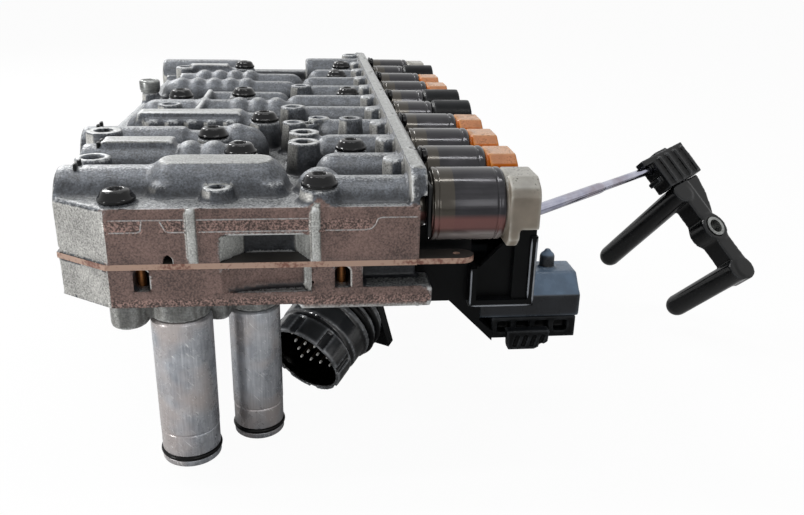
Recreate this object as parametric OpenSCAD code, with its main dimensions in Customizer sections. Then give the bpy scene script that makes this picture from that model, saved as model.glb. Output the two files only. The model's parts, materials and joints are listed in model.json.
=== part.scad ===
// Transmission valve body: an upper and a lower die casting with a separator
// plate between them, spool valves in the ribbed bores of the upper casting, a
// row of ten solenoids on a conductor frame, a round plug and a wired sensor.
// Millimetres, +Z up. X runs along the bores, Y along the row of solenoids.

/* [Casting] */
// Width of the casting along the bores
body_w = 119; // [116:0.5:124]
// Distance between solenoid rows
pitch = 32; // [30:0.5:34]
// Thickness of the lower casting
low_t = 13.2; // [12:0.2:15]
// Thickness of the separator plate
plate_t = 2; // [1.5:0.1:2.5]
// Thickness of the upper casting's base
base_t = 18.6; // [17.5:0.1:20]
// Bore axis below the top of the base
axis_drop = 3.4; // [2.8:0.1:4.2]
// Radius of a bore ridge
ridge_r = 11; // [10.4:0.1:11.6]
// Height of the solenoid rail above the base
rail_h = 11.6; // [10.5:0.1:12.5]
// Step of the rear left side beyond the front one
ledge_w = 7.5; // [5:0.5:9]

/* [Valves] */
// Radius of a valve bore
bore_r = 5.6; // [5:0.1:6]
// Radial clearance of a spool in its bore
spool_gap = 0.1; // [0.08:0.01:0.15]
// Travel of a spool
stroke = 4; // [2:0.5:5]
// Radius of the spring wire
wire_r = 0.6; // [0.4:0.05:0.7]
// Turns of a return spring
spring_turns = 6; // [4:1:7]

/* [Solenoids] */
// Radius of a solenoid can
can_r = 12.6; // [12:0.1:13]
// Length of a solenoid can
can_l = 24.4; // [22:0.2:27]
// Length of a terminal cap
cap_l = 11.7; // [10.5:0.1:14]
// Radius of the neck in the casting
neck_r = 7.6; // [7:0.1:8]
// Radius of the nose
nose_r = 5.1; // [4.5:0.1:5.5]

/* [Oil tubes] */
// Outer radius of the front tube
tube_a_r = 10.6; // [10:0.1:11]
// Outer radius of the second tube
tube_b_r = 9.5; // [9:0.1:9.8]
// Reach of the tubes below the lower casting
tube_drop = 65.6; // [60:0.2:70]
// Wall of the tubes
tube_wall = 2; // [1.6:0.1:2.4]

/* [Fasteners] */
// Radius of a bolt shank
bolt_r = 3; // [2.8:0.05:3.1]
// Radius of a bolt flange
flange_r = 6.1; // [5.6:0.1:6.4]
// Radius of a gearbox bolt hole
fix_r = 3.3; // [3.2:0.05:3.5]
// Gearbox bolt holes along the bores
fix_span = 66.6; // [64:0.2:70]
// Gearbox bolt holes along the row
fix_run = 236; // [228:1:244]

/* [Wiring] */
// Radius of the round plug's mouth
plug_r = 17.9; // [16.5:0.1:18.5]
// Length of the round plug
plug_l = 33; // [32:0.5:40]
// Radius of the conduit's sleeve
sleeve_r = 2.4; // [2.3:0.05:2.7]
// Radius of the conduit
conduit_r = 1.95; // [1.8:0.05:2]
// Radius of a sensor prong
prong_r = 5.3; // [5:0.1:5.8]
// Length of the long prong
prong_a_l = 63; // [58:0.5:70]
// Length of the short prong
prong_b_l = 45; // [40:0.5:50]

/* [Hidden] */
$fn = 48;
// Assembly clearance and a small overlap for joined solids
gap = 0.1;
eps = 0.02;
rows = 10;
first_row = 14;
body_l = (rows - 1) * pitch + 2 * first_row + 4;
front = -body_l / 2;
rear = body_l / 2;
half = body_w / 2;
plate_z = low_t;
base_z = low_t + plate_t;
top_z = base_z + base_t;
axis_z = top_z - axis_drop;
floor_z = axis_z - 3;
rail_z = top_z + rail_h;
seat_z = top_z + 5.6;
// Places across the casting are shares of its half width, along it are rows.
function bx(f) = f * half;
function ys(k) = front + first_row + k * pitch;
valve_shift = 12;
function yv(k) = ys(k) + valve_shift;

// Valve bores: rows that hold a spool, and the left end of each ridge
VALVES = [0, 1, 2];
ridge_out = 0.8;
function left_x(k) = -half - ridge_out - (k < 2 ? 0 : ledge_w);
// Closed ridges behind the ledge
CLOSED = [3, 4, 6];
// Distances inward from the ridge's left end
clip_in = 6;
clip_t = 1.2;
clip_w = 8;
clip_slot = clip_t + 2 * gap;
plug_in = clip_in + clip_t;
plug_len = 5;
spring_in = plug_in + plug_len;
spring_len = 14;
spool_in = spring_in + spring_len;
spool_len = 24;
bore_end = spool_in + spool_len;
spool_r = bore_r - spool_gap;
guide_r = bore_r / 2 - 0.6;

// Rail, retainer strip and solenoids, measured outward from the side face
side = half + 0.5;
rail_in = side - 2.8;
rail_out = side + 2.7;
strip_t = 1.8;
strip_x = rail_out;
screw_z = rail_z - 3;
screw_row = 0.62;
can_x = strip_x + strip_t + 0.5;
can_end = can_x + can_l;
cap_end = can_end + cap_l;
neck_x = side - 12;
nose_x = neck_x - 10;
cap_drop = 6;
cap_split = can_end + 5;
round_in = 6;
round_out = 1.4;
ROUND_CAPS = [4, 5, 8];
PALE_CAPS = [0, 9];
function is_round(k) = len(search(k, ROUND_CAPS)) > 0;
function is_pale(k) = len(search(k, PALE_CAPS)) > 0;
function can_to(k) = can_end - (is_round(k) ? round_in : 0);
function cap_to(k) = cap_end + (is_round(k) ? round_out : 0);

// Flange bolts: share of half width, row, seat above the base
BOLTS = [
    [-0.635, -0.18, 0.6], [0.46, -0.21, 5.4], [-0.025, 1.17, 5.6], [0.675, 1.4, 5.2],
    [-0.242, 2.03, 5.8], [0.075, 3.06, 5.8], [-0.68, 4.93, 5.8], [-0.16, 5.12, 5.8],
    [0.756, 5.5, 4.2], [0.69, 7.5, 4.6], [0.76, 8.5, 5.8], [-0.277, 8.33, 6.2]
];
boss_r = 6.6;
bolt_tip = 3.5;
// Pins between the castings, seen through the front windows
DOWELS = [bx(-0.54), bx(0.576)];
WINDOWS = [bx(-0.517), bx(0.58)];
window_w = 5.3;
dowel_y = front + 7;
dowel_r = 1.7;
// Open bosses: share, row, top above the base, outer radius, hole radius
RINGS = [
    [-0.938, 1.875, 9.4, 7, 3.4], [-0.68, 3.84, 8.6, 5.8, 3], [0.37, 2.19, 6.6, 6.4, 3.5],
    [0.37, 1.63, 6.6, 6.4, 3.5], [0.293, 2.76, 7, 5, 2.6], [0.475, 3.07, 7, 4.7, 2.4],
    [0.4, 2.9, 5.6, 4.2, 2], [0.706, 2.6, 9.8, 5.2, 2.6], [0.28, 3.75, 8, 6, 3],
    [0.336, 5.72, 8, 5.8, 2.8], [-0.1, -0.11, 4.2, 5, 2.4]
];
ring_depth = 9;
// Gearbox bolt holes on a rectangle
fix_left = -0.884 * half;
fix_right = fix_left + fix_span;
fix_y = fix_run / 2;
// The origin is the middle of those holes, on the face that meets the gearbox.
foot_drop = 2;
shift_x = -(fix_left + fix_right) / 2;
// Ring-shaped swellings of the ridges: valve row, first place, how many
BEADS = [[1, -21, 3], [3, -8, 1], [4, -10, 3], [6, -47, 5], [2, -6, 1], [7, -38, 4]];
bead_pitch = 9;
bead_r = 5.2;
bead_out = 12.3;
bead_from = bx(-0.45);
slim_r = 9.4;
pad_r = 14.5;
// Ridges left of the middle: valve row, left end, right end, radius
MID_RIDGES = [
    [2, -14, -1, 11], [3, -16, 0, 10.6], [4, -20, 12, 10.4], [5, -30, 8, 9.6], [6, -16, 12, 10.4],
    [7, -52, 14, 10], [8, -48, -26, 9.6]
];
// Left end of each solenoid ridge
SOL_RIDGES = [33, 33, 32, 34, 16, 18, 27, 26, 30, 22];

// Tubes, their sockets and the bosses under the lower casting
tube_a = [-21.4, front + 14];
tube_b = [2.6, front + 29];
collar_a = 8.2;
collar_b = 12;
spigot_in = 9;
spigot_r = 7.2;
lip_h = 2.4;
ring_r = 1;
ring_in = 1.5;
ring_z = -tube_drop + lip_h + ring_r;

// Conductor frame under the caps
frame_in = can_end - 9.8;
frame_out = cap_end + 1.8;
frame_wall = 2.4;
frame_z = -6.5;
frame_top = axis_z - 10.7;
frame_front = ys(0) - 6;
frame_rear = ys(rows - 1) + 10;
term_top = axis_z - cap_drop;

// Control module below the frame
box_x0 = frame_in + 9.2;
box_x1 = frame_out + 26.6;
box_y0 = frame_front + 24;
box_y1 = box_y0 + 20;
box_z0 = frame_z - 16;
tray_z = box_z0 - 9;
post_r = 3;

// Round plug: mouth towards the front left, seat on the frame's arm
plug_yaw = 233;
plug_tilt = 23;
plug_at = [37.9, front + 75.6, -36.1];
arm_t = 4;
seal_r = 1.5;
pin_in = 25;
pin_l = 14;

// Conduit to the sensor
lead_at = [frame_out, frame_front + 36.4, 14.3];
lead_yaw = 36.4;
lead_tilt = 2;
sleeve_l = 60.6;
lead_l = 110.6;

// Sensor: bracket along e, prongs along d
lead_dir = [cos(lead_tilt) * cos(lead_yaw), cos(lead_tilt) * sin(lead_yaw), sin(lead_tilt)];
sensor_at = lead_at + lead_l * lead_dir + [4.35, -10.9, -12.7];
sensor_e = [0.493, -0.53, -0.69] / norm([0.493, -0.53, -0.69]);
sensor_d0 = [-0.26, 0.61, -0.75];
sensor_n = cross(sensor_e, sensor_d0) / norm(cross(sensor_e, sensor_d0));
sensor_d = cross(sensor_n, sensor_e);
prong_step = 44;
prong_lean = 3.5;
bush_at = [21, 3.6];
bush_r = 3.25;

// From the casting's own middle to the gearbox bolt holes
module placed() {
    translate([shift_x, 0, foot_drop])
        children();
}

// Helpers
module along_x(x, y) {
    translate([x, y, axis_z])
        rotate([0, 90, 0])
            children();
}

module rod_x(x0, x1, y, r) {
    along_x(x0, y)
        cylinder(h = x1 - x0, r = r);
}

// Ridge over a bore, its free end domed: dir is 1 for the right end, -1 for the left
function dome(x, r, dir) = [for (i = [0 : 5]) [r * cos(18 * i), x + dir * 0.75 * r * sin(18 * i)]];

module ridge(x0, x1, y, r, dir) {
    along_x(0, y)
        rotate_extrude()
            polygon(dir > 0 ? concat([[0, x0], [r, x0]], dome(x1, r, 1)) : concat([[0, x1], [r, x1]], dome(x0, r, -1)));
}

module at_plug() {
    translate(plug_at)
        rotate([0, 90 + plug_tilt, plug_yaw])
            children();
}

module at_lead(d) {
    translate(lead_at)
        rotate([0, 90 - lead_tilt, lead_yaw])
            translate([0, 0, d])
                children();
}

module at_sensor() {
    multmatrix([
        [sensor_e.x, sensor_n.x, sensor_d.x, sensor_at.x],
        [sensor_e.y, sensor_n.y, sensor_d.y, sensor_at.y],
        [sensor_e.z, sensor_n.z, sensor_d.z, sensor_at.z]
    ])
        children();
}

// Plan of both castings: chamfered front left corner, wider at the rear left
module plan() {
    polygon([
        [-half + 18.5, front], [side, front], [side, rear], [-half - ledge_w, rear],
        [-half - ledge_w, ys(2)], [-half, ys(1.7)], [-half, front + 13.3]
    ]);
}

module bolt_places() {
    for (b = BOLTS)
        translate([bx(b[0]), ys(b[1]), top_z + b[2]])
            children();
}

module fix_places() {
    for (x = [fix_left, fix_right], y = [-fix_y, fix_y])
        translate([x, y, 0])
            children();
}

// Ring swelling of a ridge
module bead(x, y) {
    along_x(x, y)
        rotate_extrude()
            translate([bead_out - bead_r, 0])
                circle(r = bead_r, $fn = 32);
}

// Fat ridge with domed ends, its top milled flat
module milled_ridge(x0, x1, y, r, top) {
    ends = dome(x0, r, -1);
    difference() {
        along_x(0, y)
            rotate_extrude()
                polygon(concat([for (i = [5 : -1 : 0]) ends[i]], dome(x1, r, 1)));
        translate([x0 - 2 * r, y - 2 * r, top])
            cube([x1 - x0 + 4 * r, 4 * r, 2 * r]);
    }
}

// Raised pad with sloping sides and a flat machined top
module pad(x0, x1, y0, y1, z0, z1, slope) {
    intersection() {
        translate([x0, 0, 0])
            rotate([90, 0, 90])
                linear_extrude(x1 - x0)
                    polygon([[y0, z0], [y1, z0], [y1 - slope, z1], [y0 + slope, z1]]);
        translate([0, y1 + 1, 0])
            rotate([90, 0, 0])
                linear_extrude(y1 - y0 + 2)
                    polygon([
                        [x0, z0], [x1, z0], [x1 - slope, z1 - slope], [x1 - 2 * slope, z1 + 1],
                        [x0 + 2 * slope, z1 + 1], [x0 + slope, z1 - slope]
                    ]);
    }
}

// Base block with deep wells between the ridges
module upper_base() {
    difference() {
        translate([0, 0, base_z])
            linear_extrude(base_t)
                plan();
        translate([-half + 5, ys(0.4), floor_z])
            cube([body_w - 10, ys(9.2) - ys(0.4), base_t]);
        translate([-half - ledge_w - 1, ys(3.2), top_z - 2.6])
            cube([ledge_w + 3, ys(8.5) - ys(3.2), base_t]);
    }
}

module valve_ridges() {
    for (k = VALVES)
        rod_x(left_x(k), bead_from, yv(k), ridge_r);
    for (k = VALVES)
        rod_x(bead_from - 1, left_x(k) + bore_end + 6, yv(k), slim_r);
    for (k = CLOSED)
        ridge(-half + 9.2, bx(-0.2), yv(k), ridge_r, -1);
    for (m = MID_RIDGES)
        ridge(m[1], m[2], yv(m[0]), m[3], 1);
    for (b = BEADS, i = [0 : b[2] - 1])
        bead(b[1] + i * bead_pitch, yv(b[0]));
    rod_x(-half - ledge_w - 3, bx(-0.34), ys(9) - 1, ridge_r + 0.8);
}

module solenoid_ridges() {
    for (k = [0 : rows - 2])
        ridge(bx(SOL_RIDGES[k] / 59.5), rail_in + 1, ys(k), neck_r + 2.4, -1);
    rod_x(bx(SOL_RIDGES[rows - 1] / 59.5), rail_in + 1, ys(rows - 1), neck_r + 5.4);
    for (k = [0 : rows - 2])
        translate([rail_in - 2.2, ys(k + 0.5), floor_z - 1])
            cylinder(h = rail_z - 2.4 - floor_z + 1, r = 5.2);
    translate([bx(0.464), ys(0.21), top_z - 0.4])
        sphere(r = 8.4);
}

module pads() {
    // Front pad with its lobes
    milled_ridge(-22, 7, yv(0), pad_r, top_z + 9.9);
    for (x = [-24, -6, 11])
        translate([x, yv(0) - 9.4, floor_z - 1])
            cylinder(h = top_z + 5.4 - floor_z, r1 = 6.8, r2 = 4.6);
    // Machined strips on the second and fourth ridges
    pad(-55, -25, yv(1) - 5, yv(1) + 7.5, axis_z, top_z + 9.4, 1.4);
    pad(-53, -4.6, yv(3) - 9, yv(3) + 4, axis_z, top_z + 8.8, 1.4);
    for (x = [-44 : 8.4 : -10])
        translate([x, yv(3) - 8.4, floor_z])
            cylinder(h = top_z + 6.2 - floor_z, r = 4.1);
    // Machined strip at the rear and the rib along the row
    pad(-52, -25, yv(8) - 6, yv(8) + 5, axis_z, top_z + 8, 1.2);
    translate([-28.4, yv(3), floor_z - 1])
        cube([3, yv(4.9) - yv(3), top_z + 9.2 - floor_z]);
}

module rail() {
    translate([rail_in, 0, 0])
        rotate([90, 0, 90])
            linear_extrude(side - rail_in - eps)
                polygon([
                    [front + 1, base_z + 4], [rear - 1, base_z + 4], [rear - 1, rail_z], [front + 8, rail_z],
                    [front + 3, rail_z - 2.5], [front + 1, rail_z - 8]
                ]);
    translate([rail_in, 0, 0])
        rotate([90, 0, 90])
            linear_extrude(rail_out - rail_in)
                polygon([
                    [front + 2.2, top_z + 2.7], [rear + 2, top_z + 2.7], [rear + 2, rail_z - 0.4],
                    [front + 8, rail_z - 0.4], [front + 4, rail_z - 2.5]
                ]);
    translate([rail_in - 4, rear - 4, top_z])
        cylinder(h = rail_h - 0.8, r = 6.5);
}

module front_dress() {
    // Pilasters and the sheared flash band
    for (x = [-15, 24.6])
        translate([x, front - 0.9, base_z + 0.2])
            cube([2.3, 2, base_t - 0.6]);
    for (span = [[-41, -29], [-24, 44.6]])
        translate([span[0], front - 0.3, top_z - 7.8])
            cube([span[1] - span[0], 1, 4]);
}

module front_cuts() {
    // Recess with slanting side walls
    translate([0, 0, base_z - 1])
        linear_extrude(10.4)
            polygon([[-7.2, front - 2], [25.2, front - 2], [19, front + 9.5], [2.2, front + 9.5]]);
    // Arched drain hole
    translate([-22, front + 5, base_z + 1.4])
        rotate([90, 0, 0])
            cylinder(h = 8, r = 1.3);
    translate([-23.3, front - 3, base_z - 1])
        cube([2.6, 8, 2.4]);
    // Parting line
    translate([-half, front - 2, top_z - 3.8])
        cube([body_w - 10, 2.3, 0.4]);
}

module upper_casting() {
    color("#5b5e63")
        difference() {
            union() {
                upper_base();
                valve_ridges();
                solenoid_ridges();
                pads();
                rail();
                front_dress();
                for (b = BOLTS)
                    translate([bx(b[0]), ys(b[1]), floor_z - 2])
                        cylinder(h = top_z + b[2] - floor_z + 2, r1 = boss_r + 1.3, r2 = boss_r - 0.2);
                for (r = RINGS)
                    translate([bx(r[0]), ys(r[1]), floor_z - 2])
                        cylinder(h = top_z + r[2] - floor_z + 2, r1 = r[3] + 1.2, r2 = r[3] - 0.2);
                for (y = [-fix_y, fix_y])
                    translate([fix_left, y, floor_z - 2])
                        cylinder(h = top_z + 7 - floor_z + 2, r = 6.5);
                translate([-half - 2.5, ys(5.97), top_z - 6])
                    cylinder(h = 9, r = 4.6);
            }
            for (k = VALVES) {
                rod_x(left_x(k) - 1, left_x(k) + bore_end, yv(k), bore_r);
                translate([left_x(k) + clip_in, yv(k) - clip_w / 2 - 0.2, axis_z - bore_r - 0.7])
                    cube([clip_slot, clip_w + 0.4, 40]);
            }
            for (k = [0 : rows - 1]) {
                rod_x(neck_x, side + 20, ys(k), neck_r + gap);
                rod_x(nose_x - 2, neck_x + 1, ys(k), nose_r + gap);
            }
            for (r = RINGS)
                translate([bx(r[0]), ys(r[1]), top_z + r[2] - ring_depth])
                    cylinder(h = ring_depth + 1, r = r[4]);
            bolt_places()
                translate([0, 0, -60])
                    cylinder(h = 61, r = bolt_r + gap);
            bolt_places()
                cylinder(h = 20, r = flange_r + 0.4);
            fix_places()
                cylinder(h = 80, r = fix_r);
            for (x = DOWELS)
                translate([x, dowel_y, base_z - 1])
                    cylinder(h = 5, r = dowel_r + gap);
            translate([-half - 2.5, ys(5.97), top_z - 8])
                cylinder(h = 20, r = 2.6 + gap);
            for (k = [screw_row : 2 : rows - 1.3])
                translate([strip_x - 4, ys(k), screw_z])
                    rotate([0, 90, 0])
                        cylinder(h = 30, r = 2 + gap);
            translate([rail_in - 4, rear - 4, top_z + 3])
                cylinder(h = 20, r = 3);
            front_cuts();
        }
}

module separator_plate() {
    color("#b8ad98")
        translate([0, 0, plate_z])
            difference() {
                linear_extrude(plate_t)
                    union() {
                        translate([-0.7, 0])
                            plan();
                        translate([side - 2, front + 0.6])
                            square([17, 9]);
                        translate([side + 15, front + 5.1])
                            circle(r = 4.5);
                    }
                for (b = BOLTS)
                    translate([bx(b[0]), ys(b[1]), -1])
                        cylinder(h = plate_t + 2, r = bolt_r + gap);
                fix_places()
                    translate([0, 0, -1])
                        cylinder(h = plate_t + 2, r = fix_r);
                for (x = DOWELS)
                    translate([x, dowel_y, -1])
                        cylinder(h = plate_t + 2, r = dowel_r + gap);
                translate([side + 13.6, front + 5.4, -1])
                    cylinder(h = plate_t + 2, r = 1.2);
            }
}

module lower_casting() {
    color("#77736f")
        difference() {
            union() {
                linear_extrude(low_t)
                    plan();
                // Right foot, a little lower and wider
                translate([20, front + 0.02, -foot_drop])
                    cube([side + 5 - 20, 60, foot_drop + 5.2]);
                // Rim along the underside and the sockets of the tubes
                translate([tube_a.x, tube_a.y, -collar_a])
                    cylinder(h = collar_a + 1, r = tube_a_r - 0.3);
                translate([tube_b.x, tube_b.y, -collar_b])
                    cylinder(h = collar_b + 1, r = tube_b_r - 0.3);
                translate([bx(-0.64), front + 10, -10.4])
                    cylinder(h = 11, r = 6.2);
                translate([-9.4, front + 21.5, -14])
                    cylinder(h = 15, r = 4);
                translate([12.4, front + 32, -7.5])
                    cylinder(h = 8, r = 6.4);
                for (y = [-fix_y, fix_y], x = [fix_left, fix_right])
                    translate([x, y, -foot_drop])
                        cylinder(h = foot_drop + 2, r = 6.4);
                for (k = [2 : 1.5 : 8])
                    translate([-half + 14, ys(k), -1.4])
                        cube([body_w - 32, 3, 3]);
            }
            translate([tube_a.x, tube_a.y, -collar_a - 1])
                cylinder(h = spigot_in + 1, r = spigot_r + gap);
            translate([tube_b.x, tube_b.y, -collar_b - 1])
                cylinder(h = spigot_in + 1, r = spigot_r - 1 + gap);
            for (p = [tube_a, tube_b])
                translate([p.x, p.y, -6])
                    cylinder(h = 2 + low_t, r = 5);
            for (b = BOLTS)
                translate([bx(b[0]), ys(b[1]), bolt_tip - 1])
                    cylinder(h = low_t, r = bolt_r + gap);
            fix_places()
                translate([0, 0, -20])
                    cylinder(h = 60, r = fix_r);
            for (x = DOWELS)
                translate([x, dowel_y, 2])
                    cylinder(h = low_t, r = dowel_r + gap);
            // Two windows, a shallow scoop and a notch in the front face
            for (x = WINDOWS)
                translate([x - window_w / 2, front - 1, low_t - 7.6])
                    cube([window_w, 11, 7]);
            translate([0, 0, 4.4])
                linear_extrude(low_t)
                    polygon([
                        [-7, front - 0.5], [24.4, front - 0.5], [22.2, front + 5.2], [9, front + 4.6],
                        [-1, front + 2.2]
                    ]);
            translate([41.2, front - 1, 5.6])
                cube([40, 10, low_t]);
        }
}

// Domed flange bolt, origin under the flange
module flange_bolt(depth) {
    rotate_extrude()
        polygon([
            [0, -depth], [bolt_r - 0.6, -depth], [bolt_r, -depth + 0.8], [bolt_r, 0], [flange_r, 0],
            [flange_r, 0.9], [flange_r - 0.7, 1.6], [flange_r - 1.3, 2.9], [flange_r - 2.2, 3.7],
            [2.4, 4.1], [2.2, 3.1], [0, 2.9]
        ]);
}

module flange_bolts() {
    color("#17181a")
        for (b = BOLTS)
            translate([bx(b[0]), ys(b[1]), top_z + b[2]])
                flange_bolt(top_z + b[2] - bolt_tip);
}

module locating_dowels() {
    color("#7d5a40")
        for (x = DOWELS)
            translate([x, dowel_y, 2])
                cylinder(h = base_z + 4 - 2, r = dowel_r);
}

module ground_stud() {
    color("#8f9194")
        translate([-half - 2.5, ys(5.97), top_z - 8])
            rotate_extrude()
                polygon([
                    [0, 0], [2.6, 0], [2.6, 11], [5, 11], [5, 12], [5.4, 12.4], [5.4, 16.6], [4.8, 17.4],
                    [3.4, 17.4], [3, 16.4], [0, 16.2]
                ]);
}

// Spool with four lands and a guide for its spring
module spool(i) {
    k = VALVES[i];
    g = spool_r - 1.9;
    color("#c3c6c9")
        along_x(left_x(k) + spool_in, yv(k))
            rotate_extrude()
                polygon([
                    [0, -4], [guide_r, -4], [guide_r, 0], [spool_r, 0], [spool_r, 4.5], [g, 4.5], [g, 8],
                    [spool_r, 8], [spool_r, 12], [g, 12], [g, 16.5], [spool_r, 16.5],
                    [spool_r, spool_len - 0.6], [spool_r - 0.6, spool_len], [0, spool_len]
                ]);
}

// Helical return spring swept from a six-sided wire section
module coil(r, wire, len, turns) {
    n = 12 * turns;
    s = 6;
    pts = [
        for (i = [0 : n], j = [0 : s - 1])
            let (a = 360 * turns * i / n, q = 60 * j, c = r + wire * cos(q))
                [c * cos(a), c * sin(a), wire + (len - 2 * wire) * i / n + wire * sin(q)]
    ];
    sides = [
        for (i = [0 : n - 1], j = [0 : s - 1])
            [i * s + j, i * s + (j + 1) % s, (i + 1) * s + (j + 1) % s, (i + 1) * s + j]
    ];
    ends = [[for (j = [0 : s - 1]) s - 1 - j], [for (j = [0 : s - 1]) n * s + j]];
    polyhedron(pts, concat(sides, ends), convexity = 8);
}

module spring(i) {
    k = VALVES[i];
    color("#8d9298")
        along_x(left_x(k) + spring_in, yv(k))
            coil(guide_r + wire_r + 0.4, wire_r, spring_len, spring_turns);
}

module bore_plugs() {
    color("#a9acae")
        for (k = VALVES)
            along_x(left_x(k) + plug_in, yv(k))
                cylinder(h = plug_len, r = bore_r - gap / 2);
}

module plug_clips() {
    color("#151515")
        for (k = VALVES)
            translate([left_x(k) + clip_in, yv(k), axis_z - bore_r - 0.7])
                rotate([90, 0, 90])
                    linear_extrude(clip_t)
                        difference() {
                            translate([-clip_w / 2, 0])
                                square([clip_w, bore_r + ridge_r + 2.2]);
                            translate([-clip_w / 2 + 2, -1])
                                square([clip_w - 4, bore_r + 1.2]);
                            translate([-1.2, bore_r + ridge_r])
                                square([2.4, 4]);
                        }
}

// Black fork plate that holds the solenoids in their grooves
module retainer_strip() {
    color("#121315")
        difference() {
            union() {
                translate([strip_x, ys(0) - 11, axis_z - 9])
                    cube([strip_t, ys(rows - 1) - ys(0) + 22, rail_z - 5.5 - axis_z + 9]);
                for (k = [screw_row : 2 : rows - 1.3])
                    translate([strip_x, ys(k), screw_z])
                        rotate([0, 90, 0])
                            cylinder(h = strip_t, r = 3.5);
            }
            for (k = [0 : rows - 1]) {
                rod_x(strip_x - 1, strip_x + strip_t + 1, ys(k), neck_r - 0.6 + gap);
                translate([strip_x - 1, ys(k) - neck_r + 0.6 - gap, axis_z - 20])
                    cube([strip_t + 2, 2 * (neck_r - 0.6 + gap), 20]);
            }
            for (k = [screw_row : 2 : rows - 1.3])
                translate([strip_x - 1, ys(k), screw_z])
                    rotate([0, 90, 0])
                        cylinder(h = strip_t + 2, r = 2 + gap);
        }
}

module strip_screws() {
    color("#151618")
        for (k = [screw_row : 2 : rows - 1.3])
            translate([strip_x + strip_t, ys(k), screw_z])
                rotate([0, 90, 0])
                    rotate_extrude()
                        polygon([[0, -5.4], [2, -5.4], [2, 0], [3, 0], [3, 1.2], [2.2, 2], [0, 2]]);
}

// Solenoid with nose, grooved neck and can
module solenoid(k) {
    color("#3c3d40")
        along_x(0, ys(k))
            rotate_extrude()
                polygon([
                    [0, nose_x], [nose_r - 0.8, nose_x], [nose_r, nose_x + 1.2], [nose_r, neck_x],
                    [neck_r, neck_x], [neck_r, strip_x - gap], [neck_r - 0.6, strip_x - gap],
                    [neck_r - 0.6, strip_x + strip_t], [can_r - 1.4, strip_x + strip_t],
                    [can_r - 1.4, can_x], [can_r - 0.5, can_x], [can_r, can_x + 0.6],
                    [can_r, can_to(k) - 1.4], [can_r - 0.5, can_to(k)], [0, can_to(k)]
                ]);
}

// Outline of a moulded cap seen along the bore
module cap_outline(k) {
    if (is_round(k))
        circle(r = can_r + 0.6);
    else
        polygon([
            [-can_r + 3, -can_r], [can_r - 3, -can_r], [can_r, -can_r + 3], [can_r, can_r - 7],
            [can_r - 1.4, can_r - 4.2], [can_r - 6, can_r - 1.4], [-can_r + 6, can_r - 1.4],
            [-can_r + 1.4, can_r - 4.2], [-can_r, can_r - 7], [-can_r, -can_r + 3]
        ]);
}

module cap(k) {
    tone = is_pale(k) ? "#9d9884" : is_round(k) ? "#161719" : "#c8641c";
    color(tone)
        difference() {
            union() {
                rod_x(can_to(k), can_to(k) + 2, ys(k), can_r - 0.7);
                along_x(can_to(k) + 1.2, ys(k))
                    rotate([0, 0, 90])
                        linear_extrude(cap_to(k) - can_to(k) - 1.2)
                            cap_outline(k);
            }
            translate([cap_split, ys(k) - 20, term_top - 20])
                cube([20, 40, 20]);
            for (y = [-9.5, 9.5])
                translate([cap_end - 4, ys(k) + y - 1.2, axis_z - 3])
                    cube([5, 2.4, 7]);
        }
}

module oil_tube(p, r, spigot, collar) {
    color("#a5a7aa")
        translate([p.x, p.y, 0])
            rotate_extrude()
                polygon([
                    [r - tube_wall, -tube_drop], [r - 0.5, -tube_drop], [r, -tube_drop + 0.5],
                    [r, -tube_drop + lip_h], [r - ring_in, -tube_drop + lip_h],
                    [r - ring_in, ring_z + ring_r], [r - 0.1, ring_z + ring_r], [r - 0.1, ring_z + 9],
                    [r - 0.35, ring_z + 9.2], [r - 0.35, ring_z + 9.6], [r, ring_z + 9.9],
                    [r, -collar - 1], [r - 0.6, -collar], [spigot, -collar],
                    [spigot, -collar + spigot_in - 0.5], [5, -collar + spigot_in - 0.5],
                    [5, -collar - 4], [r - tube_wall, -collar - 8]
                ]);
}

module tube_seal(p, r) {
    color("#0d0d0e")
        translate([p.x, p.y, ring_z])
            rotate_extrude()
                translate([r - ring_in + ring_r, 0])
                    circle(r = ring_r, $fn = 32);
}

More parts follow.
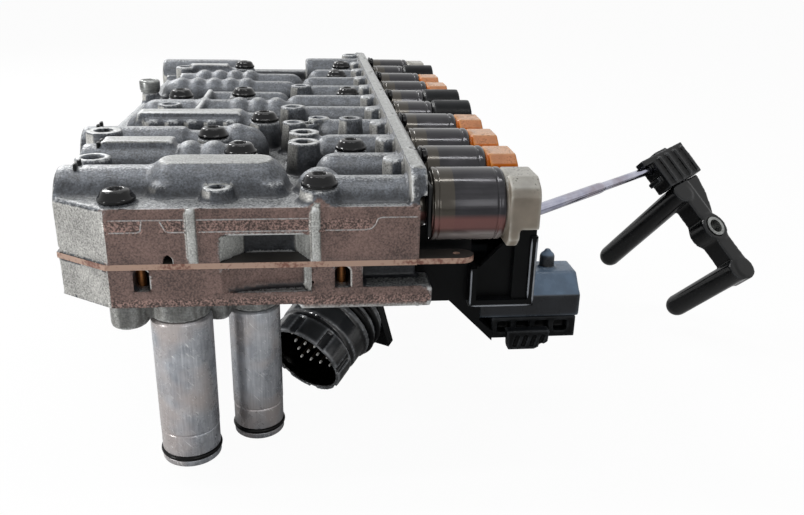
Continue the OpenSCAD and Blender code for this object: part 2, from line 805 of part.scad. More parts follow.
// Moulded frame: trough under the caps, terminals, gusset and plug arm
module conductor_frame() {
    color("#141517")
        difference() {
            union() {
                translate([0, frame_rear, 0])
                    rotate([90, 0, 0])
                        linear_extrude(frame_rear - frame_front)
                            polygon([
                                [frame_in, frame_z], [frame_out, frame_z], [frame_out, frame_top],
                                [frame_out - frame_wall, frame_top],
                                [frame_out - frame_wall, frame_z + frame_wall],
                                [frame_in + frame_wall, frame_z + frame_wall],
                                [frame_in + frame_wall, frame_z + 14.6], [frame_in, frame_z + 14.6]
                            ]);
                // End walls with a diagonal shoulder
                for (y = [frame_front + 6, frame_rear - 3])
                    translate([0, y, 0])
                        rotate([90, 0, 0])
                            linear_extrude(2.4)
                                polygon([
                                    [frame_in + 1, frame_z + 1], [frame_out - 1, frame_z + 1],
                                    [frame_out - 1, frame_top - 0.4], [cap_split + 0.6, frame_top - 0.4],
                                    [cap_split + 0.6, axis_z - can_r - 0.6], [frame_in + 13, axis_z - can_r - 0.8],
                                    [frame_in + 4, frame_z + 14], [frame_in + 1, frame_z + 14]
                                ]);
                // Terminal towers under the caps
                for (k = [0 : rows - 1])
                    translate([cap_split + 0.6, ys(k) - 5, frame_z + 1])
                        cube([frame_out - cap_split - 1, 10, term_top - frame_z - 1]);
                // Side web down to the module
                translate([0, box_y1 - 2, 0])
                    rotate([90, 0, 0])
                        linear_extrude(box_y1 - box_y0)
                            polygon([
                                [frame_in - 3.6, frame_z + 4.5], [frame_in - 3.2, frame_z - 7.2],
                                [box_x0 + 5.4, tray_z], [box_x0 + 5.4, tray_z + 4], [box_x0, box_z0],
                                [box_x0, frame_z], [frame_in + 1, frame_z + 1], [frame_in + 1, frame_z + 4.5]
                            ]);
                // Arm and seat of the round plug
                at_plug()
                    translate([0, 0, -arm_t])
                        linear_extrude(arm_t)
                            union() {
                                translate([-19, -26])
                                    square([38, 45]);
                                translate([-30, -13])
                                    square([20, 26]);
                            }
                translate([plug_at.x - 12, plug_at.y - 15, -13])
                    cube([frame_in - plug_at.x + 13, 14, 6]);
                translate([frame_in, plug_at.y - 15, -13])
                    cube([4, 14, 10]);
                // Socket of the conduit
                at_lead(-5)
                    cylinder(h = 10, r = sleeve_r + 2);
            }
            at_lead(-3)
                cylinder(h = 20, r = sleeve_r + gap / 2);
        }
}

module module_box() {
    color("#17191d")
        translate([box_x0, 0, 0])
            rotate([90, 0, 90])
                linear_extrude(box_x1 - box_x0)
                    polygon([
                        [box_y0, box_z0], [box_y1, box_z0], [box_y1, frame_z], [box_y0 + 7.5, frame_z],
                        [box_y0, frame_z - 7]
                    ]);
    color("#141517")
        translate([frame_out + 15.6, box_y0 + 13, frame_z - 1])
            rotate_extrude()
                polygon([
                    [0, 0], [post_r, 0], [post_r, 6.4], [post_r - 1, 7.4], [1.4, 7.4], [1.2, 9], [0, 9]
                ]);
}

module module_tray() {
    color("#101113")
        difference() {
            translate([box_x0 + 5.4, box_y0, tray_z])
                cube([box_x1 - box_x0 - 6.5, box_y1 - box_y0 - 2, box_z0 - tray_z]);
            for (i = [0 : 3])
                translate([box_x0 + 8 + 7.6 * i, box_y0 - 1, tray_z + 2.6])
                    cube([5.4, 5, 4.6]);
            translate([box_x0 + 12, box_y0 + 6, tray_z - 1])
                cube([box_x1 - box_x0 - 20, box_y1 - box_y0 - 12, 6]);
        }
}

module tray_plug() {
    color("#0f1012")
        difference() {
            translate([0, box_y0 - 4.6, 0])
                rotate([-90, 0, 0])
                    linear_extrude(4.6)
                        polygon([
                            [box_x0 + 10.9, -tray_z - 5], [box_x0 + 28, -tray_z - 5], [box_x0 + 27.6, -tray_z],
                            [box_x0 + 22.4, -tray_z + 3], [box_x0 + 11.6, -tray_z + 3]
                        ]);
            for (i = [0 : 3])
                translate([box_x0 + 13.4 + 3.4 * i, box_y0 - 6, tray_z - 1.6])
                    rotate([0, 14, 0])
                        cube([1.7, 2.6, 5]);
        }
}

// Round plug: hollow mouth, two seal grooves, back flange
module plug_shell() {
    r = plug_r;
    color("#1a1b1d")
        difference() {
            at_plug()
                rotate_extrude()
                    polygon([
                        [0, 0], [r + 1.4, 0], [r + 1.4, 2.4], [r - 0.4, 2.4], [r - 0.4, 5.6], [r + 1.4, 5.6],
                        [r + 1.4, 7.4], [r - 0.4, 7.4], [r - 0.4, 10.6], [r + 1.4, 10.6], [r + 1.4, 12.6],
                        [r + 0.2, 13], [r + 0.2, plug_l - 12], [r - 1, plug_l - 11.6], [r - 1, plug_l - 10],
                        [r, plug_l - 9.6], [r, plug_l], [r - 2, plug_l], [r - 2, plug_l - 22],
                        [0, plug_l - 22]
                    ]);
            for (a = [0 : 45 : 315])
                at_plug()
                    rotate([0, 0, a])
                        translate([r - 1.2, -1.6, plug_l - 9])
                            cube([3, 3.2, 10]);
            at_plug()
                for (x = [-7.5 : 5 : 7.5], y = [-7.5 : 5 : 7.5])
                    translate([x, y, plug_l - pin_in])
                        cylinder(h = 8, r = 0.7 + gap / 2, $fn = 24);
        }
}

module plug_pins() {
    color("#d9d6cc")
        at_plug()
            for (x = [-7.5 : 5 : 7.5], y = [-7.5 : 5 : 7.5])
                translate([x, y, plug_l - pin_in])
                    cylinder(h = pin_l, r = 0.7, $fn = 24);
}

module plug_seals() {
    color("#0c0c0d")
        at_plug()
            for (d = [4, 9])
                translate([0, 0, d])
                    rotate_extrude()
                        translate([plug_r - 0.4 + seal_r, 0])
                            circle(r = seal_r, $fn = 32);
}

module conduit_sleeve() {
    color("#c9cccf")
        at_lead(-3)
            difference() {
                cylinder(h = sleeve_l + 3, r = sleeve_r);
                translate([0, 0, sleeve_l - 9])
                    cylinder(h = 20, r = conduit_r + gap / 2);
            }
}

module conduit() {
    color("#d5d8da")
        at_lead(sleeve_l - 12)
            cylinder(h = lead_l - sleeve_l + 12, r = conduit_r);
}

// Clip block at the conduit's end
module sensor_block() {
    color("#131416")
        difference() {
            at_sensor() {
                translate([-22, -6, -6.6])
                    cube([17, 25, 9.4]);
                // Clip ribs along the edges
                for (y = [-3, 3, 9, 15])
                    translate([-20, y, -8])
                        cube([14, 2, 2]);
                for (x = [-19.5, -12])
                    translate([x, -8.4, -4.6])
                        cube([2.4, 3, 7]);
                translate([-16, 18, -5])
                    cube([5, 3.4, 6]);
                translate([-23.4, 2, -4])
                    cube([2, 9, 6]);
                translate([-22, -13, -6.6])
                    cube([3, 8, 5]);
            }
            at_lead(lead_l - 30)
                cylinder(h = 30 + gap, r = conduit_r + gap / 2);
        }
}

// Two-pronged moulded sensor
module sensor_body() {
    color("#18191b")
        difference() {
            at_sensor() {
                translate([-4.9, -1, -5])
                    cube([prong_step + 5, 9.2, 9.6]);
                translate([bush_at.x, bush_at.y, -5.4])
                    cylinder(h = 10.4, r = 7.2);
                translate([prong_step, bush_at.y, -5.3])
                    cylinder(h = 10.2, r = 5.4);
                // Web behind the bracket
                translate([0, 0, -4])
                    linear_extrude(7)
                        polygon([[-4.8, 4], [-4.8, 17.6], [4, 15.6], [13, 11.4], [18, 7.4], [18, 4]]);
                // Prongs
                rotate([0, prong_lean, 0]) {
                    translate([0, 0, -5.2])
                        cylinder(h = prong_a_l - 0.8, r = prong_r);
                    translate([0, 0, prong_a_l - 6.2])
                        sphere(r = prong_r - 0.1);
                }
                translate([prong_step - 1, 0, -4.8])
                    cylinder(h = prong_b_l - 1.2, r = prong_r);
                translate([prong_step - 1, 0, prong_b_l - 6.2])
                    sphere(r = prong_r - 0.1);
            }
            at_sensor()
                translate([bush_at.x, bush_at.y, -20])
                    cylinder(h = 40, r = bush_r + 1.5);
            // Seat of the clip block
            at_sensor()
                translate([-30, -10, -20])
                    cube([25.1, 40, 40]);
        }
}

module sensor_bush() {
    color("#c5c8ca")
        at_sensor()
            translate([bush_at.x, bush_at.y, -5.8])
                difference() {
                    cylinder(h = 11.6, r = bush_r + 1.5 - eps);
                    translate([0, 0, -1])
                        cylinder(h = 14, r = bush_r);
                }
}

placed() upper_casting();
placed() separator_plate();
placed() lower_casting();
placed() flange_bolts();
placed() locating_dowels();
placed() ground_stud();
placed() spool(0);  // spool_1
placed() spool(1);  // spool_2
placed() spool(2);  // spool_3
placed() spring(0);  // spring_1
placed() spring(1);  // spring_2
placed() spring(2);  // spring_3
placed() bore_plugs();
placed() plug_clips();
placed() retainer_strip();
placed() strip_screws();
placed() solenoid(0);  // solenoid_1
placed() solenoid(1);  // solenoid_2
placed() solenoid(2);  // solenoid_3
placed() solenoid(3);  // solenoid_4
placed() solenoid(4);  // solenoid_5
placed() solenoid(5);  // solenoid_6
placed() solenoid(6);  // solenoid_7
placed() solenoid(7);  // solenoid_8
placed() solenoid(8);  // solenoid_9
placed() solenoid(9);  // solenoid_10
placed() cap(0);  // cap_1
placed() cap(1);  // cap_2
placed() cap(2);  // cap_3
placed() cap(3);  // cap_4
placed() cap(4);  // cap_5
placed() cap(5);  // cap_6
placed() cap(6);  // cap_7
placed() cap(7);  // cap_8
placed() cap(8);  // cap_9
placed() cap(9);  // cap_10
placed() oil_tube(tube_a, tube_a_r, spigot_r, collar_a);  // oil_tube_a
placed() oil_tube(tube_b, tube_b_r, spigot_r - 1, collar_b);  // oil_tube_b
placed() tube_seal(tube_a, tube_a_r);  // tube_seal_a
placed() tube_seal(tube_b, tube_b_r);  // tube_seal_b
placed() conductor_frame();
placed() module_box();
placed() module_tray();
placed() tray_plug();
placed() plug_shell();
placed() plug_seals();
placed() plug_pins();
placed() conduit_sleeve();
placed() conduit();
placed() sensor_block();
placed() sensor_body();
placed() sensor_bush();
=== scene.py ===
"""Looks of a transmission valve body: castings, solenoids, tubes, plug and speed sensor."""

import json
import logging
import math
from dataclasses import dataclass, field
from enum import Enum
from typing import Any, Optional, Sequence

import bmesh
import bpy
import numpy as np
from mathutils import Matrix, Vector

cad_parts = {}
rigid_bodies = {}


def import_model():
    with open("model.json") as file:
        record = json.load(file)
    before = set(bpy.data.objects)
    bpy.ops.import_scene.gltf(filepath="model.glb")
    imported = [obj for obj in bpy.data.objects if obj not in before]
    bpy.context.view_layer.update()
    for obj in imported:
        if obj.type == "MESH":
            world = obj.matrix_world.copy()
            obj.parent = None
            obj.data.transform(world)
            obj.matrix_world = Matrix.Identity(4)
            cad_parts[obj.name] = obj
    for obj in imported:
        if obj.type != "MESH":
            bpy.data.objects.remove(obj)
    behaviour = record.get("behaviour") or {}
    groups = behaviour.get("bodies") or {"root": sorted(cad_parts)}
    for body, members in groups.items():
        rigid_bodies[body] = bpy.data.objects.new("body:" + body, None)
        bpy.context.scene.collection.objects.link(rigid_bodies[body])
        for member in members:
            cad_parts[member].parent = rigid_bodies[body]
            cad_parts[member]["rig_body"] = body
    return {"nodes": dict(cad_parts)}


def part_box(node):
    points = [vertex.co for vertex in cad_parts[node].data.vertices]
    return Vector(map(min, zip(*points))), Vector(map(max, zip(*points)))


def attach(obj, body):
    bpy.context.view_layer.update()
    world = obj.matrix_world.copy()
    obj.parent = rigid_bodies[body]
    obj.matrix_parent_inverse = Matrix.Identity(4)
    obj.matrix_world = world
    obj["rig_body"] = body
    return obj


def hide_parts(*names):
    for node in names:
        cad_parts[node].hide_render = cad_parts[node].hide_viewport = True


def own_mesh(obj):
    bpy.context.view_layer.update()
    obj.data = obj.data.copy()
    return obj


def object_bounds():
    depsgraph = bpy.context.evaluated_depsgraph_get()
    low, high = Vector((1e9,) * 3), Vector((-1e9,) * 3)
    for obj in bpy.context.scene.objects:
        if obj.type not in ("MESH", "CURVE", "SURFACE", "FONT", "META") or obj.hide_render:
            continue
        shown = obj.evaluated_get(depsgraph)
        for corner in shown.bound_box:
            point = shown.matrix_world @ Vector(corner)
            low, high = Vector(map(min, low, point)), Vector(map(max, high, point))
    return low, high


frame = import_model()
CAD_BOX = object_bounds()
MM = 0.001
# Distance in metres at which points are one.
MERGE = 2e-6
SHIFT = np.array([19.298, 0.0, 2.0])
LOG = logging.getLogger("valve_body")
Array = np.ndarray
Material = bpy.types.Material
Mesh = bpy.types.Mesh
Object = bpy.types.Object
Socket = bpy.types.NodeSocket
Tree = bpy.types.NodeTree

# Sizes in millimetres, in the casting's own frame: half width, front face, pitch of the rows, flat top,
# axis of the bores, joint face, top of the rail and right side. SHIFT takes them to the part's frame.
HALF = 59.5
FRONT = -160.0
PITCH = 32.0
TOP_Z = 33.8
AXIS_Z = 30.4
BASE_Z = 15.2
RAIL_Z = 45.4
SIDE = 60.0
# Chamfered front left corner: its legs along Y and X, and its plane's normal and distance.
CORNER_Y = 13.3
CORNER_X = 18.5
CORNER = np.array([-CORNER_Y, -CORNER_X, 0.0]) / math.hypot(CORNER_Y, CORNER_X)
CORNER_D = float(CORNER @ np.array([-HALF + CORNER_X, FRONT, 0.0]))
# Points left of and in front of these count as near the corner.
CORNER_NEAR = (-38.0, FRONT + 15.0)
# Distance of the first row from the front face.
FIRST_ROW = 14.0
X_AXIS = (1, 0, 0)
Y_AXIS = (0, 1, 0)
Z_AXIS = (0, 0, 1)


def row(k: Any) -> Any:
    """Y of one solenoid row, or of an array of rows, in the casting's frame."""
    return FRONT + FIRST_ROW + PITCH * k


def between(value: Array, limits: Sequence[float]) -> Array:
    """Whether each value lies between two limits."""
    return (value > limits[0]) & (value < limits[1])


def box_mm(node: str) -> tuple[Array, Array]:
    """Lowest and highest corner of a solid in millimetres."""
    low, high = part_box(node)
    return np.array(low) / MM, np.array(high) / MM


def ring(count: int) -> Array:
    """Points of a unit circle, as rows of cosine and sine."""
    a = np.linspace(0, 2 * math.pi, count, endpoint=False)
    return np.stack([np.cos(a), np.sin(a)], 1)


def linear(code: str) -> tuple[float, float, float, float]:
    """Turns an sRGB hex colour to linear light.

    Args:
        code: Six hex digits, with or without a hash sign.
    Returns:
        Linear red, green, blue and an alpha of one.
    """
    v = np.array([int(code.lstrip("#")[i:i + 2], 16) for i in (0, 2, 4)]) / 255.0
    out = np.where(v <= 0.04045, v / 12.92, ((v + 0.055) / 1.055) ** 2.4)
    return float(out[0]), float(out[1]), float(out[2]), 1.0


def place(name: str, data: Any) -> Object:
    """Puts a mesh, lamp or camera into the scene as a new object."""
    obj = bpy.data.objects.new(name, data)
    bpy.context.scene.collection.objects.link(obj)
    return obj


def put(tree: Tree, kind: str, values: Optional[dict] = None, links: Optional[dict] = None,
        **settings: Any) -> bpy.types.Node:
    """Adds one shader node.

    Args:
        tree: Node tree that takes the node.
        kind: Type name of the node, without the word ShaderNode.
        values: Constant values by input name or number.
        links: Output sockets that feed an input, by input name or number.
        settings: Properties of the node itself.
    Returns:
        The new node.
    """
    node = tree.nodes.new("ShaderNode" + kind)
    for key, value in settings.items():
        setattr(node, key, value)
    for key, value in (values or {}).items():
        node.inputs[key].default_value = value
    for key, socket in (links or {}).items():
        tree.links.new(socket, node.inputs[key])
    return node


# Finishes.


@dataclass(frozen=True)
class Finish:
    """A finish: its material's name and shader values that are the same all over."""

    name: str
    metallic: float = 0.0
    roughness: float = 0.45
    specular: float = 0.5
    coat: float = 0.0

    def start(self) -> tuple[Material, Tree, bpy.types.Node, Socket]:
        """Makes the bare material.

        Returns:
            Material, its tree, its Principled shader and the Object coordinates.
        """
        mat = bpy.data.materials.new(self.name)
        mat.use_nodes = True
        tree = mat.node_tree
        tree.nodes.clear()
        shade = put(tree, "BsdfPrincipled", {
            "Metallic": self.metallic, "Roughness": self.roughness, "Specular IOR Level": self.specular,
            "Coat Weight": self.coat, "Coat Roughness": 0.15})
        put(tree, "OutputMaterial", links={"Surface": shade.outputs[0]})
        return mat, tree, shade, put(tree, "TexCoord").outputs["Object"]


def feed(shade: bpy.types.Node, sockets: dict[str, Socket]) -> None:
    """Links sockets to a shader's inputs, by input name."""
    for key, socket in sockets.items():
        shade.id_data.links.new(socket, shade.inputs[key])


@dataclass(frozen=True)
class CastSkin(Finish):
    """Pressure die-cast aluminium, blasted, with milled faces.

    The eye sees a dark grey-blue grainy skin, painted lighter where it faces up and on steep faces turned to
    the left, bright worn edges with painted highlights, corners and wells darkened by painted shade, pale
    milled faces and brownish granular front faces. The grains are drawn coarser than real ones, so that they
    show.
    """

    skin: str = "#25282d"
    # Painted light: up-facing skin is mixed towards this lighter tone.
    painted_top_light: str = "#5e6268"
    front: str = "#69554f"
    # Painted light: steep faces that turn to the left take this paler grey.
    painted_left_light: str = "#a3a29e"
    trough: str = "#63635f"
    milled: str = "#8e8f8c"
    bare: str = "#b2b3b0"
    # Colour of rubbed edges, and of the painted highlights on edges and on up-facing faces.
    edge: str = "#c6c8c8"
    # Painted shade: corners take this colour, along with oily dirt, and the wells take the next, darker one.
    soil_and_shade: str = "#141517"
    dark: str = "#131519"
    grain_mm: float = 0.75
    dust_mm: float = 0.6
    crumb_mm: float = 0.6
    mottle_mm: float = 3.2
    cutter_mm: float = 7.0
    blot_mm: float = 16.0

    def make(self) -> Material:
        """Builds the node material.

        Returns:
            The cast aluminium material. It reads the piece's attributes for convex edges, dip, milled, flash,
            well and face. Milled goes from 0, cast, over 1, milled, to 2, bright.
        """
        mat, tree, shade, where = self.start()
        convex_edge, dip, milled, flash, well, face = (
            put(tree, "Attribute", attribute_name=n).outputs["Fac"]
            for n in ("convex_edge", "dip", "milled", "flash", "well", "face"))
        fine, blot, mid, dust, crumb = (
            put(tree, "TexNoise", {"Scale": 1000 / mm, "Detail": detail, "Roughness": rough},
                {"Vector": where}).outputs["Fac"]
            for mm, detail, rough in (
                (self.grain_mm, 3.0, 0.65), (self.blot_mm, 4.0, 0.6), (self.mottle_mm, 3.0, 0.5),
                (self.dust_mm, 2.0, 0.5), (self.crumb_mm, 1.0, 0.5)))
        turn = put(tree, "SeparateXYZ", links={0: put(tree, "NewGeometry").outputs["Normal"]}).outputs
        painted_left_light = put(tree, "MapRange", {1: -0.3, 2: -0.52, 3: 0.0, 4: 1.0}, {0: turn["X"]},
                    interpolation_type="SMOOTHSTEP").outputs[0]
        # The front face and the sides painted as lit from the left have finer grain, with a soft cloud of
        # sheen over it.
        dust = put(tree, "Math", {1: 0.8}, {0: blot, 2: dust}, operation="MULTIPLY_ADD").outputs[0]
        upward, steep, painted_top_glint, speck, mottle, dust, crumb, clean, rough = (
            put(tree, "MapRange", dict(zip((1, 2, 3, 4), span)), {0: source}).outputs[0]
            for source, span in (
                (turn["Z"], (0.55, 0.95, 0.0, 1.0)), (turn["Z"], (0.2, 0.5, 1.0, 0.0)),
                (turn["Z"], (0.86, 1.0, 0.0, 0.42)), (fine, (0.36, 0.64, 0.48, 1.52)),
                (mid, (0.36, 0.64, 0.68, 1.34)), (dust, (0.65, 1.15, 0.42, 1.62)),
                (crumb, (0.36, 0.64, 0.5, 1.65)), (milled, (1.0, 2.0, 0.0, 1.0)),
                (mid, (0.25, 0.75, self.roughness - 0.1, self.roughness + 0.16))))
        lift, dip, well = (
            put(tree, "Math", {1: share}, {0: source}, operation="MULTIPLY").outputs[0]
            for source, share in ((upward, 0.7), (dip, 0.85), (well, 0.95)))
        # Skin: painted lighter where it faces up, as if lit from above, with light and dark specks of the
        # blasting.
        lift = put(tree, "Math", links={0: lift, 1: blot}, operation="MULTIPLY_ADD").outputs[0]
        tone = put(tree, "Mix", {6: linear(self.skin), 7: linear(self.painted_top_light)}, {0: lift},
                   data_type="RGBA").outputs[2]
        for grain in (speck, mottle):
            tone = put(tree, "Mix", {0: 1.0}, {6: tone, 7: grain}, data_type="RGBA",
                       blend_type="MULTIPLY").outputs[2]
        # Painted light on steep left-facing sides; the front faces take the brownish front colour.
        side = put(tree, "Math", links={0: painted_left_light, 1: steep}, operation="MULTIPLY").outputs[0]
        for share, code in ((face, self.front), (side, self.painted_left_light)):
            grain = put(tree, "Mix", {0: 1.0, 6: linear(code)}, {7: dust}, data_type="RGBA",
                        blend_type="MULTIPLY").outputs[2]
            tone = put(tree, "Mix", links={0: share, 6: tone, 7: grain}, data_type="RGBA").outputs[2]
        # Sheared flash: torn grains, light and dark.
        torn = put(tree, "Mix", {0: 1.0}, {6: tone, 7: crumb}, data_type="RGBA",
                   blend_type="MULTIPLY").outputs[2]
        tone = put(tree, "Mix", links={0: flash, 6: tone, 7: torn}, data_type="RGBA").outputs[2]
        # Painted shade, with oily dirt, darkens the corners, and the wells by their depth.
        for share, code in ((dip, self.soil_and_shade), (well, self.dark)):
            tone = put(tree, "Mix", {7: linear(code)}, {0: share, 6: tone}, data_type="RGBA").outputs[2]
        # Milled faces with faint cutter lines across.
        cut = put(tree, "TexWave", {"Scale": 1000 / self.cutter_mm, "Distortion": 6.0, "Detail": 2.0},
                  {"Vector": where}, bands_direction="Y").outputs["Fac"]
        metal = put(tree, "Mix", {6: linear(self.trough), 7: linear(self.milled)}, {0: cut},
                    data_type="RGBA").outputs[2]
        metal = put(tree, "Mix", {7: linear(self.bare)}, {0: clean, 6: metal}, data_type="RGBA").outputs[2]
        metal = put(tree, "Mix", {0: 0.8}, {6: metal, 7: dust}, data_type="RGBA",
                    blend_type="MULTIPLY").outputs[2]
        tone = put(tree, "Mix", links={0: milled, 6: tone, 7: metal}, data_type="RGBA").outputs[2]
        # Bright edges, partly rubbed metal and partly painted highlight, and a painted glint on faces that
        # look straight up, all broken by the grain.
        rub_and_glint = put(tree, "Math", links={0: convex_edge, 1: painted_top_glint}, operation="ADD").outputs[0]
        rub_and_glint = put(tree, "Math", {1: 0.9}, {0: fine, 2: rub_and_glint}, operation="MULTIPLY_ADD").outputs[0]
        rub_and_glint = put(tree, "MapRange", {1: 0.74, 2: 1.14, 3: 0.0, 4: 0.95}, {0: rub_and_glint}).outputs[0]
        tone = put(tree, "Mix", {7: linear(self.edge)}, {0: rub_and_glint, 6: tone}, data_type="RGBA").outputs[2]
        rise = put(tree, "Math", {1: 0.6}, {0: fine, 2: mid}, operation="MULTIPLY_ADD").outputs[0]
        bump = put(tree, "Bump", {"Strength": 0.6, "Distance": 0.00035}, {"Height": rise}).outputs[0]
        feed(shade, {"Base Color": tone, "Roughness": rough, "Normal": bump})
        return mat


@dataclass(frozen=True)
class TurnedMetal(Finish):
    """Turned or drawn metal.

    The eye sees fine lines round or along the axis, small scratches and cloudy handling marks.
    """

    low: str = "#8a8d90"
    high: str = "#b4b7ba"
    line_mm: tuple[float, float, float] = (0.4, 30.0, 30.0)
    bump: float = 0.08
    stain: str = "#808080"
    stain_share: float = 0.0
    stain_mm: float = 14.0
    cloud_mm: float = 9.0

    def make(self) -> Material:
        """Builds the node material.

        Returns:
            A metal whose noise is stretched, so that its streaks run the way the tool went.
        """
        mat, tree, shade, where = self.start()
        scale = tuple(1.0 / (m * MM) for m in self.line_mm)
        lay = put(tree, "Mapping", {"Scale": scale}, {"Vector": where}).outputs[0]
        streak = put(tree, "TexNoise", {"Scale": 1.0, "Detail": 4.0, "Roughness": 0.7},
                     {"Vector": lay}).outputs["Fac"]
        cloud = put(tree, "TexNoise", {"Scale": 1000 / self.cloud_mm, "Detail": 5.0, "Roughness": 0.65},
                    {"Vector": where}).outputs["Fac"]
        both = put(tree, "Math", links={0: streak, 1: cloud}, operation="ADD").outputs[0]
        fac = put(tree, "MapRange", {1: 0.7, 2: 1.3, 3: 0.0, 4: 1.0}, {0: both}).outputs[0]
        tone = put(tree, "Mix", {6: linear(self.low), 7: linear(self.high)}, {0: fac},
                   data_type="RGBA").outputs[2]
        rough = put(tree, "MapRange",
                    {1: 0.3, 2: 0.7, 3: max(0.05, self.roughness - 0.06), 4: self.roughness + 0.08},
                    {0: cloud}).outputs[0]
        bump = put(tree, "Bump", {"Strength": self.bump, "Distance": 0.0002}, {"Height": streak}).outputs[0]
        feed(shade, {"Base Color": self.tint(tree, where, tone), "Roughness": rough, "Normal": bump})
        return mat

    def tint(self, tree: Tree, where: Socket, tone: Socket) -> Socket:
        """Lays cloudy stains over the metal.

        Args:
            tree: The material's tree.
            where: Object coordinates.
            tone: Colour so far.
        Returns:
            The stained colour.
        """
        mark = put(tree, "TexNoise", {"Scale": 1000 / self.stain_mm, "Detail": 3.0, "Roughness": 0.55},
                   {"Vector": where}).outputs["Fac"]
        mark = put(tree, "MapRange", {1: 0.46, 2: 0.62, 3: 0.0, 4: self.stain_share}, {0: mark}).outputs[0]
        return put(tree, "Mix", {7: linear(self.stain)}, {0: mark, 6: tone}, data_type="RGBA").outputs[2]


@dataclass(frozen=True)
class ScratchedTube(TurnedMetal):
    """Satin aluminium tube with bright scratches that lean across it."""

    scratch: str = "#eceded"
    scratch_mm: tuple[float, float, float] = (0.5, 0.5, 9.0)
    lean: float = 0.7

    def tint(self, tree: Tree, where: Socket, tone: Socket) -> Socket:
        """Lays scratches over the stains; Args and Returns as in TurnedMetal."""
        tone = super().tint(tree, where, tone)
        scale = tuple(1.0 / (m * MM) for m in self.scratch_mm)
        turned = put(tree, "Mapping", {"Rotation": (0.0, self.lean, 0.0)}, {"Vector": where}).outputs[0]
        lay = put(tree, "Mapping", {"Scale": scale}, {"Vector": turned}).outputs[0]
        line = put(tree, "TexNoise", {"Scale": 1.0, "Detail": 1.0}, {"Vector": lay}).outputs["Fac"]
        line = put(tree, "MapRange", {1: 0.66, 2: 0.74, 3: 0.0, 4: 0.7}, {0: line}).outputs[0]
        return put(tree, "Mix", {7: linear(self.scratch)}, {0: line, 6: tone}, data_type="RGBA").outputs[2]


@dataclass(frozen=True)
class DrawnCan(TurnedMetal):
    """Drawn steel can.

    The eye sees olive before the seam, blue-grey after it, and low on the side a reddish band and a paler
    band, both painted reflection.
    """

    olive: str = "#464138"
    # Painted reflection: a reddish band and a paler band low on the side, by how far it faces down.
    painted_red_reflection: str = "#744c48"
    pale: str = "#a59c99"
    seam_mm: float = 91.1
    seam_half_mm: float = 0.1

    def tint(self, tree: Tree, where: Socket, tone: Socket) -> Socket:
        """Lays the seam, and the painted reflections low on the side, over the metal; Args and Returns as in
        TurnedMetal.
        """
        tone = super().tint(tree, where, tone)
        along = put(tree, "SeparateXYZ", links={0: where}).outputs["X"]
        turn = put(tree, "NewGeometry").outputs["Normal"]
        level = put(tree, "SeparateXYZ", links={0: turn}).outputs["Z"]
        seam = ((self.seam_mm - self.seam_half_mm) * MM, (self.seam_mm + self.seam_half_mm) * MM)
        # Painted reflection: bands chosen by how far the side faces down.
        left, low, end, pale = (
            put(tree, "MapRange", dict(zip((1, 2, 3, 4), span)), {0: source}).outputs[0]
            for source, span in (
                (along, (*seam, 0.75, 0.0)), (level, (0.0, -0.15, 0.0, 1.0)),
                (level, (-0.4, -0.6, 0.8, 0.0)), (level, (-0.45, -0.65, 0.0, 0.95))))
        band = put(tree, "Math", links={0: low, 1: end}, operation="MULTIPLY").outputs[0]
        for share, code in ((left, self.olive), (pale, self.pale), (band, self.painted_red_reflection)):
            tone = put(tree, "Mix", {7: linear(code)}, {0: share, 6: tone}, data_type="RGBA").outputs[2]
        return tone


